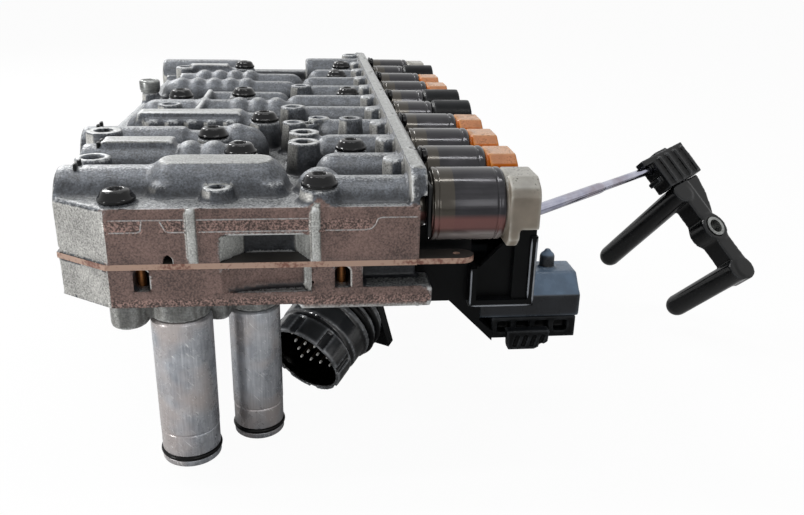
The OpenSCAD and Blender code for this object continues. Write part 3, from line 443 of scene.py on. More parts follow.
@dataclass(frozen=True)
class MouldedPlastic(Finish):
    """Glass-filled nylon from a spark-eroded mould.

    The eye sees an even tone, fine pebble, paler rubbed edges that also stand for painted highlights, tops
    painted lighter as if lit from above, and painted shade in creases and in deep mouths. The pebble is drawn
    coarser than the real one, so that it shows.
    """

    tone: str = "#17181a"
    # Paler rubbed edges, which also stand for painted edge highlights.
    rub_and_glint: str = "#5c5e61"
    # Painted light: up-facing faces are mixed towards this lighter top colour.
    top: str = "#17181a"
    painted_top_share: float = 0.0
    painted_top_from: float = 0.6
    grit: str = "#2a2a2a"
    grit_share: float = 0.0
    # Painted shade with some dirt in creases, and painted shade inside a deep mouth.
    soil_and_shade: str = "#0a0a0b"
    dark: str = "#010101"
    pebble_mm: float = 0.7
    cloud_mm: float = 7.0

    def make(self) -> Material:
        """Builds the node material.

        Returns:
            A plastic that reads the piece's attributes for convex edges, dip and deep.
        """
        mat, tree, shade, where = self.start()
        convex_edge, dip, deep = (put(tree, "Attribute", attribute_name=n).outputs["Fac"]
                           for n in ("convex_edge", "dip", "deep"))
        pebble, cloud = (
            put(tree, "TexNoise", {"Scale": 1000 / mm, "Detail": detail}, {"Vector": where}).outputs["Fac"]
            for mm, detail in ((self.pebble_mm, 2.0), (self.cloud_mm, 4.0)))
        turn = put(tree, "NewGeometry").outputs["Normal"]
        up = put(tree, "SeparateXYZ", links={0: turn}).outputs["Z"]
        both = put(tree, "Math", links={0: cloud, 1: pebble}, operation="ADD").outputs[0]
        up, shadow, spots, rub_and_glint, rough = (
            put(tree, "MapRange", dict(zip((1, 2, 3, 4), span)), {0: source}).outputs[0]
            for source, span in (
                (up, (self.painted_top_from, self.painted_top_from + 0.35, 0.0, self.painted_top_share)),
                (cloud, (0.3, 0.7, 0.8, 1.15)), (both, (1.08, 1.18, 0.0, self.grit_share)),
                (cloud, (0.3, 0.6, 0.3, 1.0)),
                (cloud, (0.3, 0.7, self.roughness - 0.08, self.roughness + 0.1))))
        spots, rub_and_glint = (put(tree, "Math", links={0: a, 1: b}, operation="MULTIPLY").outputs[0]
                      for a, b in ((spots, up), (rub_and_glint, convex_edge)))
        soil_and_shade = put(tree, "Math", {1: 0.6}, {0: dip}, operation="MULTIPLY").outputs[0]
        # Painted light: tops are mixed towards the lighter top colour.
        tone = put(tree, "Mix", {6: linear(self.tone), 7: linear(self.top)}, {0: up},
                   data_type="RGBA").outputs[2]
        tone = put(tree, "Mix", {0: 1.0}, {6: tone, 7: shadow}, data_type="RGBA",
                   blend_type="MULTIPLY").outputs[2]
        # Painted highlights with rubbing on edges, painted shade with dirt in creases, painted shade in the
        # mouth.
        for share, code in ((spots, self.grit), (rub_and_glint, self.rub_and_glint), (soil_and_shade, self.soil_and_shade), (deep, self.dark)):
            tone = put(tree, "Mix", {7: linear(code)}, {0: share, 6: tone}, data_type="RGBA").outputs[2]
        bump = put(tree, "Bump", {"Strength": 0.12, "Distance": 0.0001}, {"Height": pebble}).outputs[0]
        feed(shade, {"Base Color": tone, "Roughness": rough, "Normal": bump})
        return mat


@dataclass(frozen=True)
class PlateSteel(Finish):
    """Sheared sheet with a cream bead of sealant on its edge, speckled with red-brown rust."""

    cream: str = "#ac8f7e"
    rust: str = "#6a3a2e"
    painted_flat_shade: tuple[str, str] = ("#211f1e", "#4a4642")
    speck_mm: float = 1.3
    blot_mm: float = 11.0

    def make(self) -> Material:
        """Builds the node material.

        Returns:
            A pale material with rust specks of about one millimetre on its edges and oily faces.
        """
        mat, tree, shade, where = self.start()
        speck, blot = (
            put(tree, "TexNoise", {"Scale": 1000 / mm, "Detail": 3.0}, {"Vector": where}).outputs["Fac"]
            for mm in (self.speck_mm, self.blot_mm))
        both = put(tree, "Math", links={0: speck, 1: blot}, operation="ADD").outputs[0]
        fac = put(tree, "MapRange", {1: 1.0, 2: 1.22, 3: 0.0, 4: 0.85}, {0: both}).outputs[0]
        turn = put(tree, "NewGeometry").outputs["Normal"]
        up = put(tree, "SeparateXYZ", links={0: turn}).outputs["Z"]
        flat = put(tree, "Math", links={0: up}, operation="ABSOLUTE").outputs[0]
        # Painted shade: the flat faces take the dark pair, the edges the cream and rust.
        edge, painted_flat_shade = (
            put(tree, "Mix", {6: linear(low), 7: linear(high)}, {0: share}, data_type="RGBA").outputs[2]
            for (low, high), share in (((self.cream, self.rust), fac), (self.painted_flat_shade, blot)))
        tone = put(tree, "Mix", links={0: flat, 6: edge, 7: painted_flat_shade}, data_type="RGBA").outputs[2]
        bump = put(tree, "Bump", {"Strength": 0.3, "Distance": 0.0002}, {"Height": speck}).outputs[0]
        feed(shade, {"Base Color": tone, "Normal": bump})
        return mat


class Look(Enum):
    """Named finishes of the valve body."""

    CAST = CastSkin("cast_aluminium_blasted", 0.2, 0.42)
    PLATE = PlateSteel("plate_steel_sheared", 0.1, 0.55)
    BOLT = TurnedMetal("bolt_steel_black_oxide", 0.0, 0.09, 0.26, 0.0, "#08080a", "#121214",
                       (4.0, 4.0, 4.0), 0.0)
    DOWEL = TurnedMetal("dowel_steel_browned", 0.8, 0.35, 0.5, 0.0, "#5e3b22", "#a8703f", (2.0, 2.0, 0.5))
    ZINC = TurnedMetal("stud_steel_zinc_plated", 0.85, 0.3, 0.5, 0.0, "#4d4f50", "#a3a5a2", (2.0, 2.0, 0.4))
    CAN = DrawnCan("can_steel_drawn", 0.4, 0.15, 0.4, 0.0, "#222225", "#363539", (16.0, 0.8, 0.8), 0.03)
    SPOOL = TurnedMetal("spool_aluminium_turned", 0.9, 0.3, 0.5, 0.0, "#a2a5a8", "#c9ccce",
                        (0.3, 20.0, 20.0))
    SPRING = TurnedMetal("spring_steel_drawn", 0.9, 0.35, 0.5, 0.0, "#6f7378", "#9a9ea3", (1.0, 1.0, 1.0))
    TUBE = ScratchedTube("tube_aluminium_satin", 0.55, 0.27, 0.5, 0.0, "#7c8087", "#bfc2c7",
                         (0.5, 0.5, 12.0), 0.2, "#b9aca5", 0.6, 26.0)
    CHROME = TurnedMetal("conduit_steel_bright", 1.0, 0.12, 0.5, 0.0, "#8a8b9e", "#bfc0cd",
                         (40.0, 40.0, 1.2), 0.0, "#84757a", 0.6, 16.0)
    PIN = TurnedMetal("pin_brass_tinned", 0.2, 0.35, 0.5, 0.0, "#dedcd6", "#f6f5f2", (2.0, 2.0, 2.0), 0.0)
    SHANK = TurnedMetal("pin_brass_tarnished", 0.6, 0.4, 0.5, 0.0, "#1c1712", "#3a3022", (2.0, 2.0, 2.0), 0.0)
    SHEET = TurnedMetal("clip_steel_coated", 0.2, 0.36, 0.35, 0.0, "#08090a", "#131415", (3.0, 3.0, 3.0), 0.0)
    RUBBER = MouldedPlastic("seal_rubber_moulded", 0.0, 0.3, 0.15, 0.0, "#070708", "#1c1d20")
    ORANGE = MouldedPlastic("cap_nylon_orange", 0.0, 0.3, 0.12, 0.0, "#b75a06", "#d9964f", "#c79f80",
                            0.95, 0.66, "#3a2417", 0.8)
    BEIGE = MouldedPlastic("cap_nylon_beige", 0.0, 0.36, 0.3, 0.0, "#80776b", "#c4c1b8", "#a6a49d",
                           0.9, 0.35, "#2a2823", 1.0)
    BLACK = MouldedPlastic("housing_nylon_black", 0.0, 0.34, 0.08, 0.0, "#08090a", "#3a3c3f", "#1c1e21", 0.5)
    PLUG = MouldedPlastic("plug_nylon_black", 0.0, 0.14, 0.6, 0.0, "#08090a", "#a3a6aa", "#3a3c3f", 0.85, 0.2)
    BOX = MouldedPlastic("box_nylon_grey_black", 0.0, 0.28, 0.25, 0.0, "#1d1f23", "#66717c", "#70859c",
                         0.85, 0.3)
    RIM = MouldedPlastic("rim_nylon_rubbed_and_highlight", 0.0, 0.3, 0.3, 0.0, "#85898f", "#b9bcc0")
    SENSOR = MouldedPlastic("sensor_nylon_black", 0.0, 0.16, 0.25, 0.0, "#060708", "#3a3c3f", "#141517", 0.4)


class Finishes:
    """Makes each finish once and hands it out."""

    def __init__(self) -> None:
        """Starts with no material made."""
        self._made: dict[Look, Material] = {}

    def get(self, look: Look) -> Material:
        """Gives the material of a finish, made at its first use."""
        if look not in self._made:
            self._made[look] = look.value.make()
        return self._made[look]


FINISHES = Finishes()


# Shapes.


def dress(obj: Object, look: Look) -> None:
    """Gives an object one finish in place of its slots."""
    obj.data.materials.clear()
    obj.data.materials.append(FINISHES.get(look))


def body_of(node: str) -> str:
    """Name of the body that a solid rides on."""
    return frame["nodes"][node]["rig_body"]


def enlist(obj: Object, node: str, look: Look, stands_for: bool = True) -> Object:
    """Makes an object a piece of the part.

    Args:
        obj: The finished object.
        node: Solid that it belongs to.
        look: Finish of its surface.
        stands_for: Whether it takes the solid's place.
    Returns:
        The same object.
    """
    dress(obj, look)
    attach(obj, body_of(node))
    if stands_for:
        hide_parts(node)
    LOG.info("%s: %d faces in %s", obj.name, len(obj.data.polygons), look.value.name)
    return obj


def shade_smooth(mesh: Mesh, smooth: bool = True) -> None:
    """Shades all faces of a mesh smoothly, or all flat."""
    mesh.polygons.foreach_set("use_smooth", np.full(len(mesh.polygons), smooth))


def to_object(name: str, verts: Array, faces: Array, smooth: bool = True) -> Object:
    """Puts points and faces into a new object.

    Args:
        name: Name of the piece.
        verts: Points in metres.
        faces: Rows of point numbers.
        smooth: Whether the faces are shaded smoothly.
    Returns:
        The object, at the origin, with doubles merged.
    """
    mesh = bpy.data.meshes.new(name)
    mesh.from_pydata(verts.tolist(), [], faces.tolist())
    work = bmesh.new()
    work.from_mesh(mesh)
    bmesh.ops.remove_doubles(work, verts=work.verts, dist=MERGE)
    bmesh.ops.dissolve_degenerate(work, edges=work.edges, dist=MERGE / 20)
    bmesh.ops.recalc_face_normals(work, faces=work.faces)
    work.to_mesh(mesh)
    work.free()
    shade_smooth(mesh, smooth)
    return place(name, mesh)


# Largest share of an edge that a rounded corner takes.
ROUND_MOST = 0.45
# Share of a section that is left at a pointed end.
POINTED = 1e-3


def rounded(profile: Sequence[Sequence[float]], radius: float, steps: int = 4) -> Array:
    """Rounds the corners of an open profile.

    Each corner P with neighbours A and B becomes a quadratic curve from P + s(A - P) to P + s(B - P),
    where s is the radius over the edge's length and at most ROUND_MOST.

    Args:
        profile: Points of the profile, as (radius, height).
        radius: Distance from a corner at which its curve starts.
        steps: Pieces in each curve.
    Returns:
        The rounded profile.
    """
    p = np.asarray(profile, float)
    out = [p[:1]]
    t = np.linspace(0, 1, steps + 1)[:, None]
    for a, c, b in zip(p[:-2], p[1:-1], p[2:]):
        u, w = (e + (c - e) * (1 - min(ROUND_MOST, radius / max(1e-9, np.linalg.norm(c - e))))
                for e in (a, b))
        out.append((1 - t) ** 2 * u + 2 * t * (1 - t) * c + t ** 2 * w)
    out.append(p[-1:])
    return np.concatenate(out)


def axes(direction: Sequence[float]) -> Array:
    """Three unit columns, the last along a direction."""
    z = np.asarray(direction, float) / np.linalg.norm(direction)
    x = np.cross((0.0, 0.0, 1.0), z) if abs(z[2]) < 0.9 else np.cross((0.0, 1.0, 0.0), z)
    x = x / np.linalg.norm(x)
    return np.stack([x, np.cross(z, x), z], 1)


def quads(rows: int, count: int) -> Array:
    """Faces between the points of a grid whose rows are closed rings.

    Args:
        rows: Number of rings.
        count: Points in each ring.
    Returns:
        Four point numbers for each face.
    """
    i, j = np.meshgrid(np.arange(rows - 1) * count, np.arange(count), indexing="ij")
    k = (j + 1) % count
    return np.stack([i + j, i + k, i + count + k, i + count + j], -1).reshape(-1, 4)


def lathe(profile: Array, origin: Sequence[float], direction: Sequence[float],
          count: int) -> tuple[Array, Array]:
    """Turns a profile about an axis.

    The surface is P(u, v) = origin + r(v) cos(u) X + r(v) sin(u) Y + h(v) Z, with u round the axis and v
    along the profile.

    Args:
        profile: Rows of radius and height in millimetres.
        origin: Point of the axis in millimetres, in the part's frame.
        direction: Direction of the axis.
        count: Steps round the axis.
    Returns:
        Points in metres and the quads between them.
    """
    c, s = ring(count).T
    r, h = profile[:, :1], profile[:, 1:]
    local = np.stack([r * c, r * s, h + 0 * c], -1).reshape(-1, 3)
    verts = (np.asarray(origin, float) + local @ axes(direction).T) * MM
    return verts, quads(len(profile), count)


def gather(parts: Sequence[tuple[Array, Array]]) -> tuple[Array, Array]:
    """Joins several point and face arrays into one pair."""
    starts = np.cumsum([0] + [len(v) for v, _ in parts[:-1]])
    return (np.concatenate([v for v, _ in parts]),
            np.concatenate([f + s for (_, f), s in zip(parts, starts)]))


def sweep(path: Array, section: Array, up: Sequence[float]) -> tuple[Array, Array]:
    """Carries a closed section along an open path.

    P(i, j) = path(i) + section(j).x S(i) + section(j).y U, with S across the path and U the given
    direction.

    Args:
        path: Points in millimetres, in the part's frame.
        section: Closed outline in millimetres.
        up: Direction that the section's second number follows.
    Returns:
        Points in metres and faces, with both ends drawn to a point.
    """
    tangent = np.gradient(path, axis=0)
    tangent = tangent / np.linalg.norm(tangent, axis=1)[:, None]
    lift = np.asarray(up, float)
    across = np.cross(tangent, lift)
    across = across / np.linalg.norm(across, axis=1)[:, None]
    size = np.ones(len(path))
    size[[0, -1]] = POINTED
    pts = (path[:, None, :] + size[:, None, None] * (section[None, :, :1] * across[:, None, :]
                                                     + section[None, :, 1:] * lift))
    return pts.reshape(-1, 3) * MM, quads(len(path), len(section))


def mesh_arrays(mesh: Mesh) -> tuple[Array, Array, Array]:
    """Points, point normals and edges of a mesh as arrays."""
    n = len(mesh.vertices)
    co, no = np.empty(n * 3, np.float32), np.empty(n * 3, np.float32)
    mesh.vertices.foreach_get("co", co)
    mesh.vertices.foreach_get("normal", no)
    ed = np.empty(len(mesh.edges) * 2, np.int32)
    mesh.edges.foreach_get("vertices", ed)
    return co.reshape(-1, 3).astype(float), no.reshape(-1, 3).astype(float), ed.reshape(-1, 2)


def spread(value: Array, edges: Array, rounds: int, share: Any = 0.5) -> Array:
    """Moves each point's value towards the mean of its neighbours' values, a number of times.

    Args:
        value: One number or one row for each point.
        edges: Pairs of point numbers.
        rounds: How many times.
        share: How far each time, one number or one for each point.
    Returns:
        The smoothed values.
    """
    v = value.reshape(len(value), -1).copy()
    n = len(v)
    i, j = edges.T
    deg = np.maximum(1, np.bincount(np.r_[i, j], minlength=n))[:, None]
    step = np.broadcast_to(np.asarray(share, float).reshape(-1, 1), (n, 1))
    for _ in range(rounds):
        total = np.stack([np.bincount(i, c[j], n) + np.bincount(j, c[i], n) for c in v.T], 1)
        v += step * (total / deg - v)
    return v.reshape(value.shape)


def note(mesh: Mesh, name: str, value: Array) -> None:
    """Keeps one number for each point in a named attribute."""
    layer = mesh.attributes.new(name, "FLOAT", "POINT")
    layer.data.foreach_set("value", np.ascontiguousarray(value, np.float32))


@dataclass
class SoftCopy:
    """A solid's shape with the rounded edges that casting or moulding gives it.

    The solid is resampled on a voxel grid, and each point then moves towards its neighbours' mean. The
    bend of the surface, (n1 - n2).(p1 - p2) / |p1 - p2|^2 along the edges, marks convex edges, which the
    finishes paint as rubbed edges with painted highlights, and hollow corners, which they paint with dirt
    and painted shade. Points in the methods are in millimetres, in the casting's frame.
    """

    node: str
    look: Look
    voxel: float
    rounds: int = 4
    edge_mm: float = 1.6
    dip_mm: float = 2.4
    limit: int = 190000
    # Distances in voxels from which points are drawn to faces, lines, the corner's lines and rims.
    face_reach: float = 0.45
    line_reach: float = 0.8
    corner_reach: float = 1.1
    rim_reach: float = 0.75
    # Share of the unseen points that goes.
    unseen_cut: float = 0.9

    def hold(self, co: Array, no: Array) -> Array:
        """How freely each point may move when edges are rounded, from 0 to 1."""
        return np.ones(len(co))

    def marks(self, mesh: Mesh, co: Array, no: Array) -> None:
        """Adds attributes of a piece's own."""

    def crisp(self, co: Array, no: Array) -> Array:
        """Draws points near milled edges onto them."""
        return co

    def to_planes(self, co: Array, no: Array, planes: Sequence[tuple],
                  reach: Optional[float] = None) -> Array:
        """Draws points onto flat faces and onto the lines where two of them meet.

        A point within face_reach voxels of a plane, with its normal along the plane's, is moved onto it.
        One within reach voxels of two planes is moved onto both.

        Args:
            co: Points in the casting's frame.
            no: Their normals.
            planes: Unit normal and distance of each plane.
            reach: How near two planes a point is to be drawn onto their line; line_reach if left out.
        Returns:
            The moved points.
        """
        co = co.copy()
        near = self.voxel * (self.line_reach if reach is None else reach)
        units = [np.asarray(n, float) for n, _ in planes]
        away = [co @ n - d for n, (_, d) in zip(units, planes)]
        for n, s in zip(units, away):
            on = (np.abs(s) < self.face_reach * self.voxel) & (np.abs(no @ n) > 0.8)
            co[on] -= s[on, None] * n
        for i, a in enumerate(units):
            for j in range(i):
                b = units[j]
                on = (np.abs(away[i]) < near) & (np.abs(away[j]) < near)
                for n, (_, d) in ((a, planes[i]), (b, planes[j]), (a, planes[i]), (b, planes[j])):
                    co[on] -= (co[on] @ n - d)[:, None] * n
        return co

    def to_corner(self, co: Array, no: Array, others: Sequence[tuple]) -> Array:
        """Draws points near the chamfered corner onto its plane and its edges with other planes."""
        left = (co[:, 0] < CORNER_NEAR[0]) & (co[:, 1] < CORNER_NEAR[1])
        for other in others:
            planes = [(CORNER, CORNER_D), other]
            co[left] = self.to_planes(co[left], no[left], planes, self.corner_reach)
        return co

    def to_rims(self, co: Array, rims: Array) -> Array:
        """Draws points onto the rims of round bosses.

        Args:
            co: Points in the casting's frame.
            rims: Rows of x, y, top, outer radius and hole radius.
        Returns:
            The moved points.
        """
        co, near = co.copy(), self.rim_reach * self.voxel
        for x, y, top, outer, hole in rims:
            d = co[:, :2] - (x, y)
            rho = np.maximum(1e-6, np.hypot(*d.T))
            level = np.abs(co[:, 2] - top)
            for r in (outer, hole):
                on = (level < near) & (np.abs(rho - r) < near)
                co[on, :2] = (x, y) + d[on] * (r / rho[on])[:, None]
                co[on, 2] = top
            flat = (level < self.face_reach * self.voxel) & between(rho, (hole, outer))
            co[flat, 2] = top
            wall = (np.abs(rho - hole) < 0.5 * self.voxel) & between(co[:, 2], (top - 8, top - 0.6))
            co[wall, :2] = (x, y) + d[wall] * (hole / rho[wall])[:, None]
        return co

    def hidden(self, co: Array) -> Optional[Array]:
        """Points that nothing shows, which may be thinned out."""
        return None

    def far(self, co: Array) -> Optional[Array]:
        """Points far from the front, which are thinned where the piece is too heavy."""
        return None

    def _thin(self, obj: Object, spare: Array, ratio: float) -> Mesh:
        """Thins out some of an object's points.

        Args:
            obj: The object.
            spare: Whether each point may go.
            ratio: Share of the triangles that stays.
        Returns:
            The thinned mesh.
        """
        group = obj.vertex_groups.new(name="spare")
        group.add(np.flatnonzero(spare).tolist(), 1.0, "REPLACE")
        mesh = self._settle(obj, "DECIMATE", ratio=ratio, vertex_group="spare", vertex_group_factor=1000.0)
        obj.vertex_groups.clear()
        shade_smooth(mesh)
        return mesh

    def build(self) -> Object:
        """Makes the piece and puts it in the solid's place.

        Returns:
            The new object.
        """
        source = frame["nodes"][self.node]
        mesh = source.data.copy()
        work = bmesh.new()
        work.from_mesh(mesh)
        bmesh.ops.remove_doubles(work, verts=work.verts, dist=MERGE / 2)
        work.to_mesh(mesh)
        work.free()
        obj = place(self.node + "_skin", mesh)
        mesh = self._settle(obj, "REMESH", mode="VOXEL", voxel_size=self.voxel * MM)
        co, no, ed = mesh_arrays(mesh)
        co = spread(co, ed, self.rounds, 0.5 * self.hold(co / MM - SHIFT, no))
        co = (self.crisp(co / MM - SHIFT, no) + SHIFT) * MM
        low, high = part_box(self.node)
        co = np.clip(co, np.array(low), np.array(high))
        mesh.vertices.foreach_set("co", co.astype(np.float32).ravel())
        mesh.update()
        out = self.hidden(co / MM - SHIFT)
        if out is not None:
            mesh = self._thin(obj, out, 1 - self.unseen_cut * float(out.mean()))
        shade_smooth(mesh)
        co, no, ed = mesh_arrays(mesh)
        self._rub(mesh, co, no, ed)
        co = co / MM - SHIFT
        self.marks(mesh, co, no)
        spare, count = self.far(co), len(mesh.loops) - 2 * len(mesh.polygons)
        if spare is not None and count > self.limit:
            self._thin(obj, spare, self.limit / count)
        return enlist(obj, self.node, self.look)

    def _rub(self, mesh: Mesh, co: Array, no: Array, ed: Array) -> None:
        """Marks convex edges, which the finishes paint as rubbed edges with painted highlights, and hollow
        corners, which they paint with dirt and painted shade.

        Args:
            mesh: The mesh that takes the marks.
            co: Its points in metres.
            no: Their normals.
            ed: Its edges.
        """
        step = co[ed[:, 0]] - co[ed[:, 1]]
        whole = (step ** 2).sum(1) > (0.4 * self.voxel * MM) ** 2
        ed, step = ed[whole], step[whole]
        bend = ((no[ed[:, 0]] - no[ed[:, 1]]) * step).sum(1) / (step ** 2).sum(1)
        n = len(co)
        deg = np.maximum(1, np.bincount(ed.ravel(), minlength=n))
        curve = (np.bincount(ed[:, 0], bend, n) + np.bincount(ed[:, 1], bend, n)) / deg
        curve = spread(curve, ed, 2)
        note(mesh, "convex_edge", np.clip(curve * self.edge_mm * MM, 0, 1) ** 1.5)
        note(mesh, "dip", np.clip(-spread(curve, ed, 3) * self.dip_mm * MM, 0, 1))

    @staticmethod
    def _settle(obj: Object, kind: str, **settings: Any) -> Mesh:
        """Adds a modifier, keeps its result as the object's mesh and takes the modifier off."""
        change = obj.modifiers.new("change", kind)
        for key, value in settings.items():
            setattr(change, key, value)
        graph = bpy.context.evaluated_depsgraph_get()
        graph.update()
        made = bpy.data.meshes.new_from_object(obj.evaluated_get(graph))
        obj.modifiers.clear()
        obj.data = made
        made.name = obj.name
        return made


# Castings.

# Flange bolts: share of the half width, row, and seat above the top.
BOLTS = np.array([
    [-0.635, -0.18, 0.6], [0.46, -0.21, 5.4], [-0.025, 1.17, 5.6], [0.675, 1.4, 5.2], [-0.242, 2.03, 5.8],
    [0.075, 3.06, 5.8], [-0.68, 4.93, 5.8], [-0.16, 5.12, 5.8], [0.756, 5.5, 4.2], [0.69, 7.5, 4.6],
    [0.76, 8.5, 5.8], [-0.277, 8.33, 6.2]])
# Ring bosses: share of the half width, row, height above the top, outer radius and hole radius.
RINGS = np.array([
    [-0.938, 1.875, 9.4, 7, 3.4], [-0.68, 3.84, 8.6, 5.8, 3], [0.37, 2.19, 6.6, 6.4, 3.5],
    [0.37, 1.63, 6.6, 6.4, 3.5], [0.293, 2.76, 7, 5, 2.6], [0.475, 3.07, 7, 4.7, 2.4],
    [0.4, 2.9, 5.6, 4.2, 2], [0.706, 2.6, 9.8, 5.2, 2.6], [0.28, 3.75, 8, 6, 3],
    [0.336, 5.72, 8, 5.8, 2.8], [-0.1, -0.11, 4.2, 5, 2.4]])
# Machined pads: left, right, height above the top and row.
PADS = np.array([[-34, 19, 9.9, 0], [-55, -25, 9.4, 1], [-53, -4.6, 8.8, 3], [-52, -25, 8, 8]])
# Thickness of the lower casting.
LOW_T = 13.2
# Openings in its front face, as left, right, bottom and top: two windows, the scoop and the notch.
CUTS = np.array([
    [-33.41, -28.11, 5.6, 12.6], [31.86, 37.16, 5.6, 12.6], [-6.6, 24.2, 4.4, LOW_T], [41.2, 80, 5.6, LOW_T]])


@dataclass
class UpperCasting(SoftCopy):
    """Upper casting: ridged top, bosses, rail and front face with its sheared flash band."""

    # How far points near the milled tops and the outer faces may move, and how near is near.
    top_free: float = 0.12
    top_slack: float = 0.9
    face_free: float = 0.15
    face_slack: float = 1.2
    # Rail: its width inwards, and its two walls from the right side.
    rail_in: float = 4.0
    rail_x: tuple[float, float] = (-2.8, 2.7)
    # Bores: radius and left end of what the solenoids close.
    bore_r: float = 8.2
    bore_from: float = 34.0
    # Pads: middle from their row, and half length.
    pad_y: tuple[float, float] = (12.0, 11.0)
    # Front pillars: middle between them, distance of each from it, and half width.
    pillars: tuple[float, float, float] = (5.9, 19.8, 1.25)
    # Pocket between the pillars: sides, depths from the front, and distance of its roof below the top.
    pocket_x: tuple[float, float] = (-8.0, 26.0)
    pocket_y: tuple[float, float] = (0.4, 10.5)
    pocket_z: float = 7.0
    # Flash band: its edges below the top, and its two lengths.
    band_z: tuple[float, float] = (7.9, 3.7)
    bands_x: tuple = ((-41.0, -29.0), (-24.0, 44.6))
    # Wells, darkened as painted shade: height above the top at which they start to darken, and depth of the
    # whole change.
    well_z: tuple[float, float] = (4.5, 8.0)
    # Rows that keep the fine mesh.
    fine_rows: float = 2.4

    def hold(self, co: Array, no: Array) -> Array:
        """Milled tops and outer faces stay crisp; the cast skin rounds."""
        free = np.ones(len(co))
        free[self.milled(co, self.top_slack)] = self.top_free
        outer = (co[:, 1] < FRONT + self.face_slack) | (co[:, 2] < BASE_Z + self.face_slack)
        free[outer | (co[:, 0] > SIDE - 3.4)] = self.face_free
        return free

    def crisp(self, co: Array, no: Array) -> Array:
        """Sharpens the joint edge, the front edge, the rail and the bosses' rims."""
        co = self.to_planes(co, no, [(Z_AXIS, BASE_Z), (Y_AXIS, FRONT), (X_AXIS, SIDE)])
        front = (co[:, 1] < FRONT + 20) & (co[:, 2] > TOP_Z - 3)
        co[front] = self.to_planes(co[front], no[front], [(Y_AXIS, FRONT), (Z_AXIS, TOP_Z)])
        co = self.to_corner(co, no, [(Z_AXIS, BASE_Z), (Y_AXIS, FRONT)])
        rail = (co[:, 0] > SIDE - self.rail_in) & (co[:, 2] > RAIL_Z - 2)
        walls = [(X_AXIS, SIDE + off) for off in self.rail_x]
        co[rail] = self.to_planes(co[rail], no[rail], [(Z_AXIS, RAIL_Z), *walls])
        f, k, top, outer, hole = RINGS.T
        return self.to_rims(co, np.stack([f * HALF, row(k), TOP_Z + top, outer - 0.2, hole], 1))

    def milled(self, co: Array, slack: float) -> Array:
        """Whether each point lies within a distance of a milled top."""
        x, y, z = co.T
        near = (np.abs(z - RAIL_Z) < slack) & (x > SIDE - self.rail_in)
        near |= (np.abs(z - RAIL_Z + 0.4) < slack) & (x > SIDE - 0.4)
        for f, k, top, outer, _ in RINGS:
            flat = np.hypot(x - f * HALF, y - row(k)) < outer + 0.6
            near |= flat & (np.abs(z - TOP_Z - top) < slack)
        mid, half = self.pad_y
        for x0, x1, top, k in PADS:
            flat = (x > x0) & (x < x1) & (np.abs(y - row(k) - mid) < half)
            near |= flat & (np.abs(z - TOP_Z - top) < slack)
        return near

    def hidden(self, co: Array) -> Optional[Array]:
        """Joint face below and the walls of the bores."""
        x, y, z = co.T
        off = np.abs((y - row(0) + PITCH / 2) % PITCH - PITCH / 2)
        bore = (np.hypot(off, z - AXIS_Z) < self.bore_r) & (x > self.bore_from) & (x < SIDE - 1)
        return ((z < BASE_Z + 0.3) | bore) & (y > FRONT + 14)

    def far(self, co: Array) -> Optional[Array]:
        """Everything beyond the front rows."""
        return co[:, 1] > row(self.fine_rows)

    def marks(self, mesh: Mesh, co: Array, no: Array) -> None:
        """Marks milled tops, the flash band and the depth of the wells.

        The edges of the two front pillars and the rear face are milled or bare too. The walls of the pocket
        between them are marked bright as painted light, brighter where they face +X.
        """
        x, y, z = co.T
        mid, off, half = self.pillars
        bare = 2.0 * ((y < FRONT + 0.5) & (np.abs(np.abs(x - mid) - off) < half))
        pocket = between(x, self.pocket_x) & between(y - FRONT, self.pocket_y) & (z < TOP_Z - self.pocket_z)
        wall = pocket & (np.abs(no[:, 0]) > 0.55) & (no[:, 1] < 0.1)
        # Painted light: the pocket's walls are marked bright, more where they face +X.
        bare = np.maximum(bare, np.where(no[:, 0] > 0, 1.9, 1.5) * wall)
        bare = np.maximum(bare, 0.85 * (y > -FRONT - 0.7))
        note(mesh, "milled", np.maximum(bare, self.milled(co, 0.35) & (no[:, 2] > 0.75)))
        band = (y < FRONT + 0.9) & (z > TOP_Z - self.band_z[0]) & (z < TOP_Z - self.band_z[1])
        band &= between(x, self.bands_x[0]) | between(x, self.bands_x[1])
        note(mesh, "flash", band.astype(float))
        note(mesh, "face", (y < FRONT + 0.7).astype(float))
        inner = between(y, (FRONT + 2, -FRONT - 2)) & between(x, (-HALF + 2, SIDE - 1))
        inner &= co @ CORNER < CORNER_D - 1
        # Painted shade: the wells darken with depth below the top, a little less in the pocket.
        depth = np.clip((TOP_Z + self.well_z[0] - z) / self.well_z[1], 0, 1)
        note(mesh, "well", depth * inner * np.where(pocket, 0.8, 1.0))


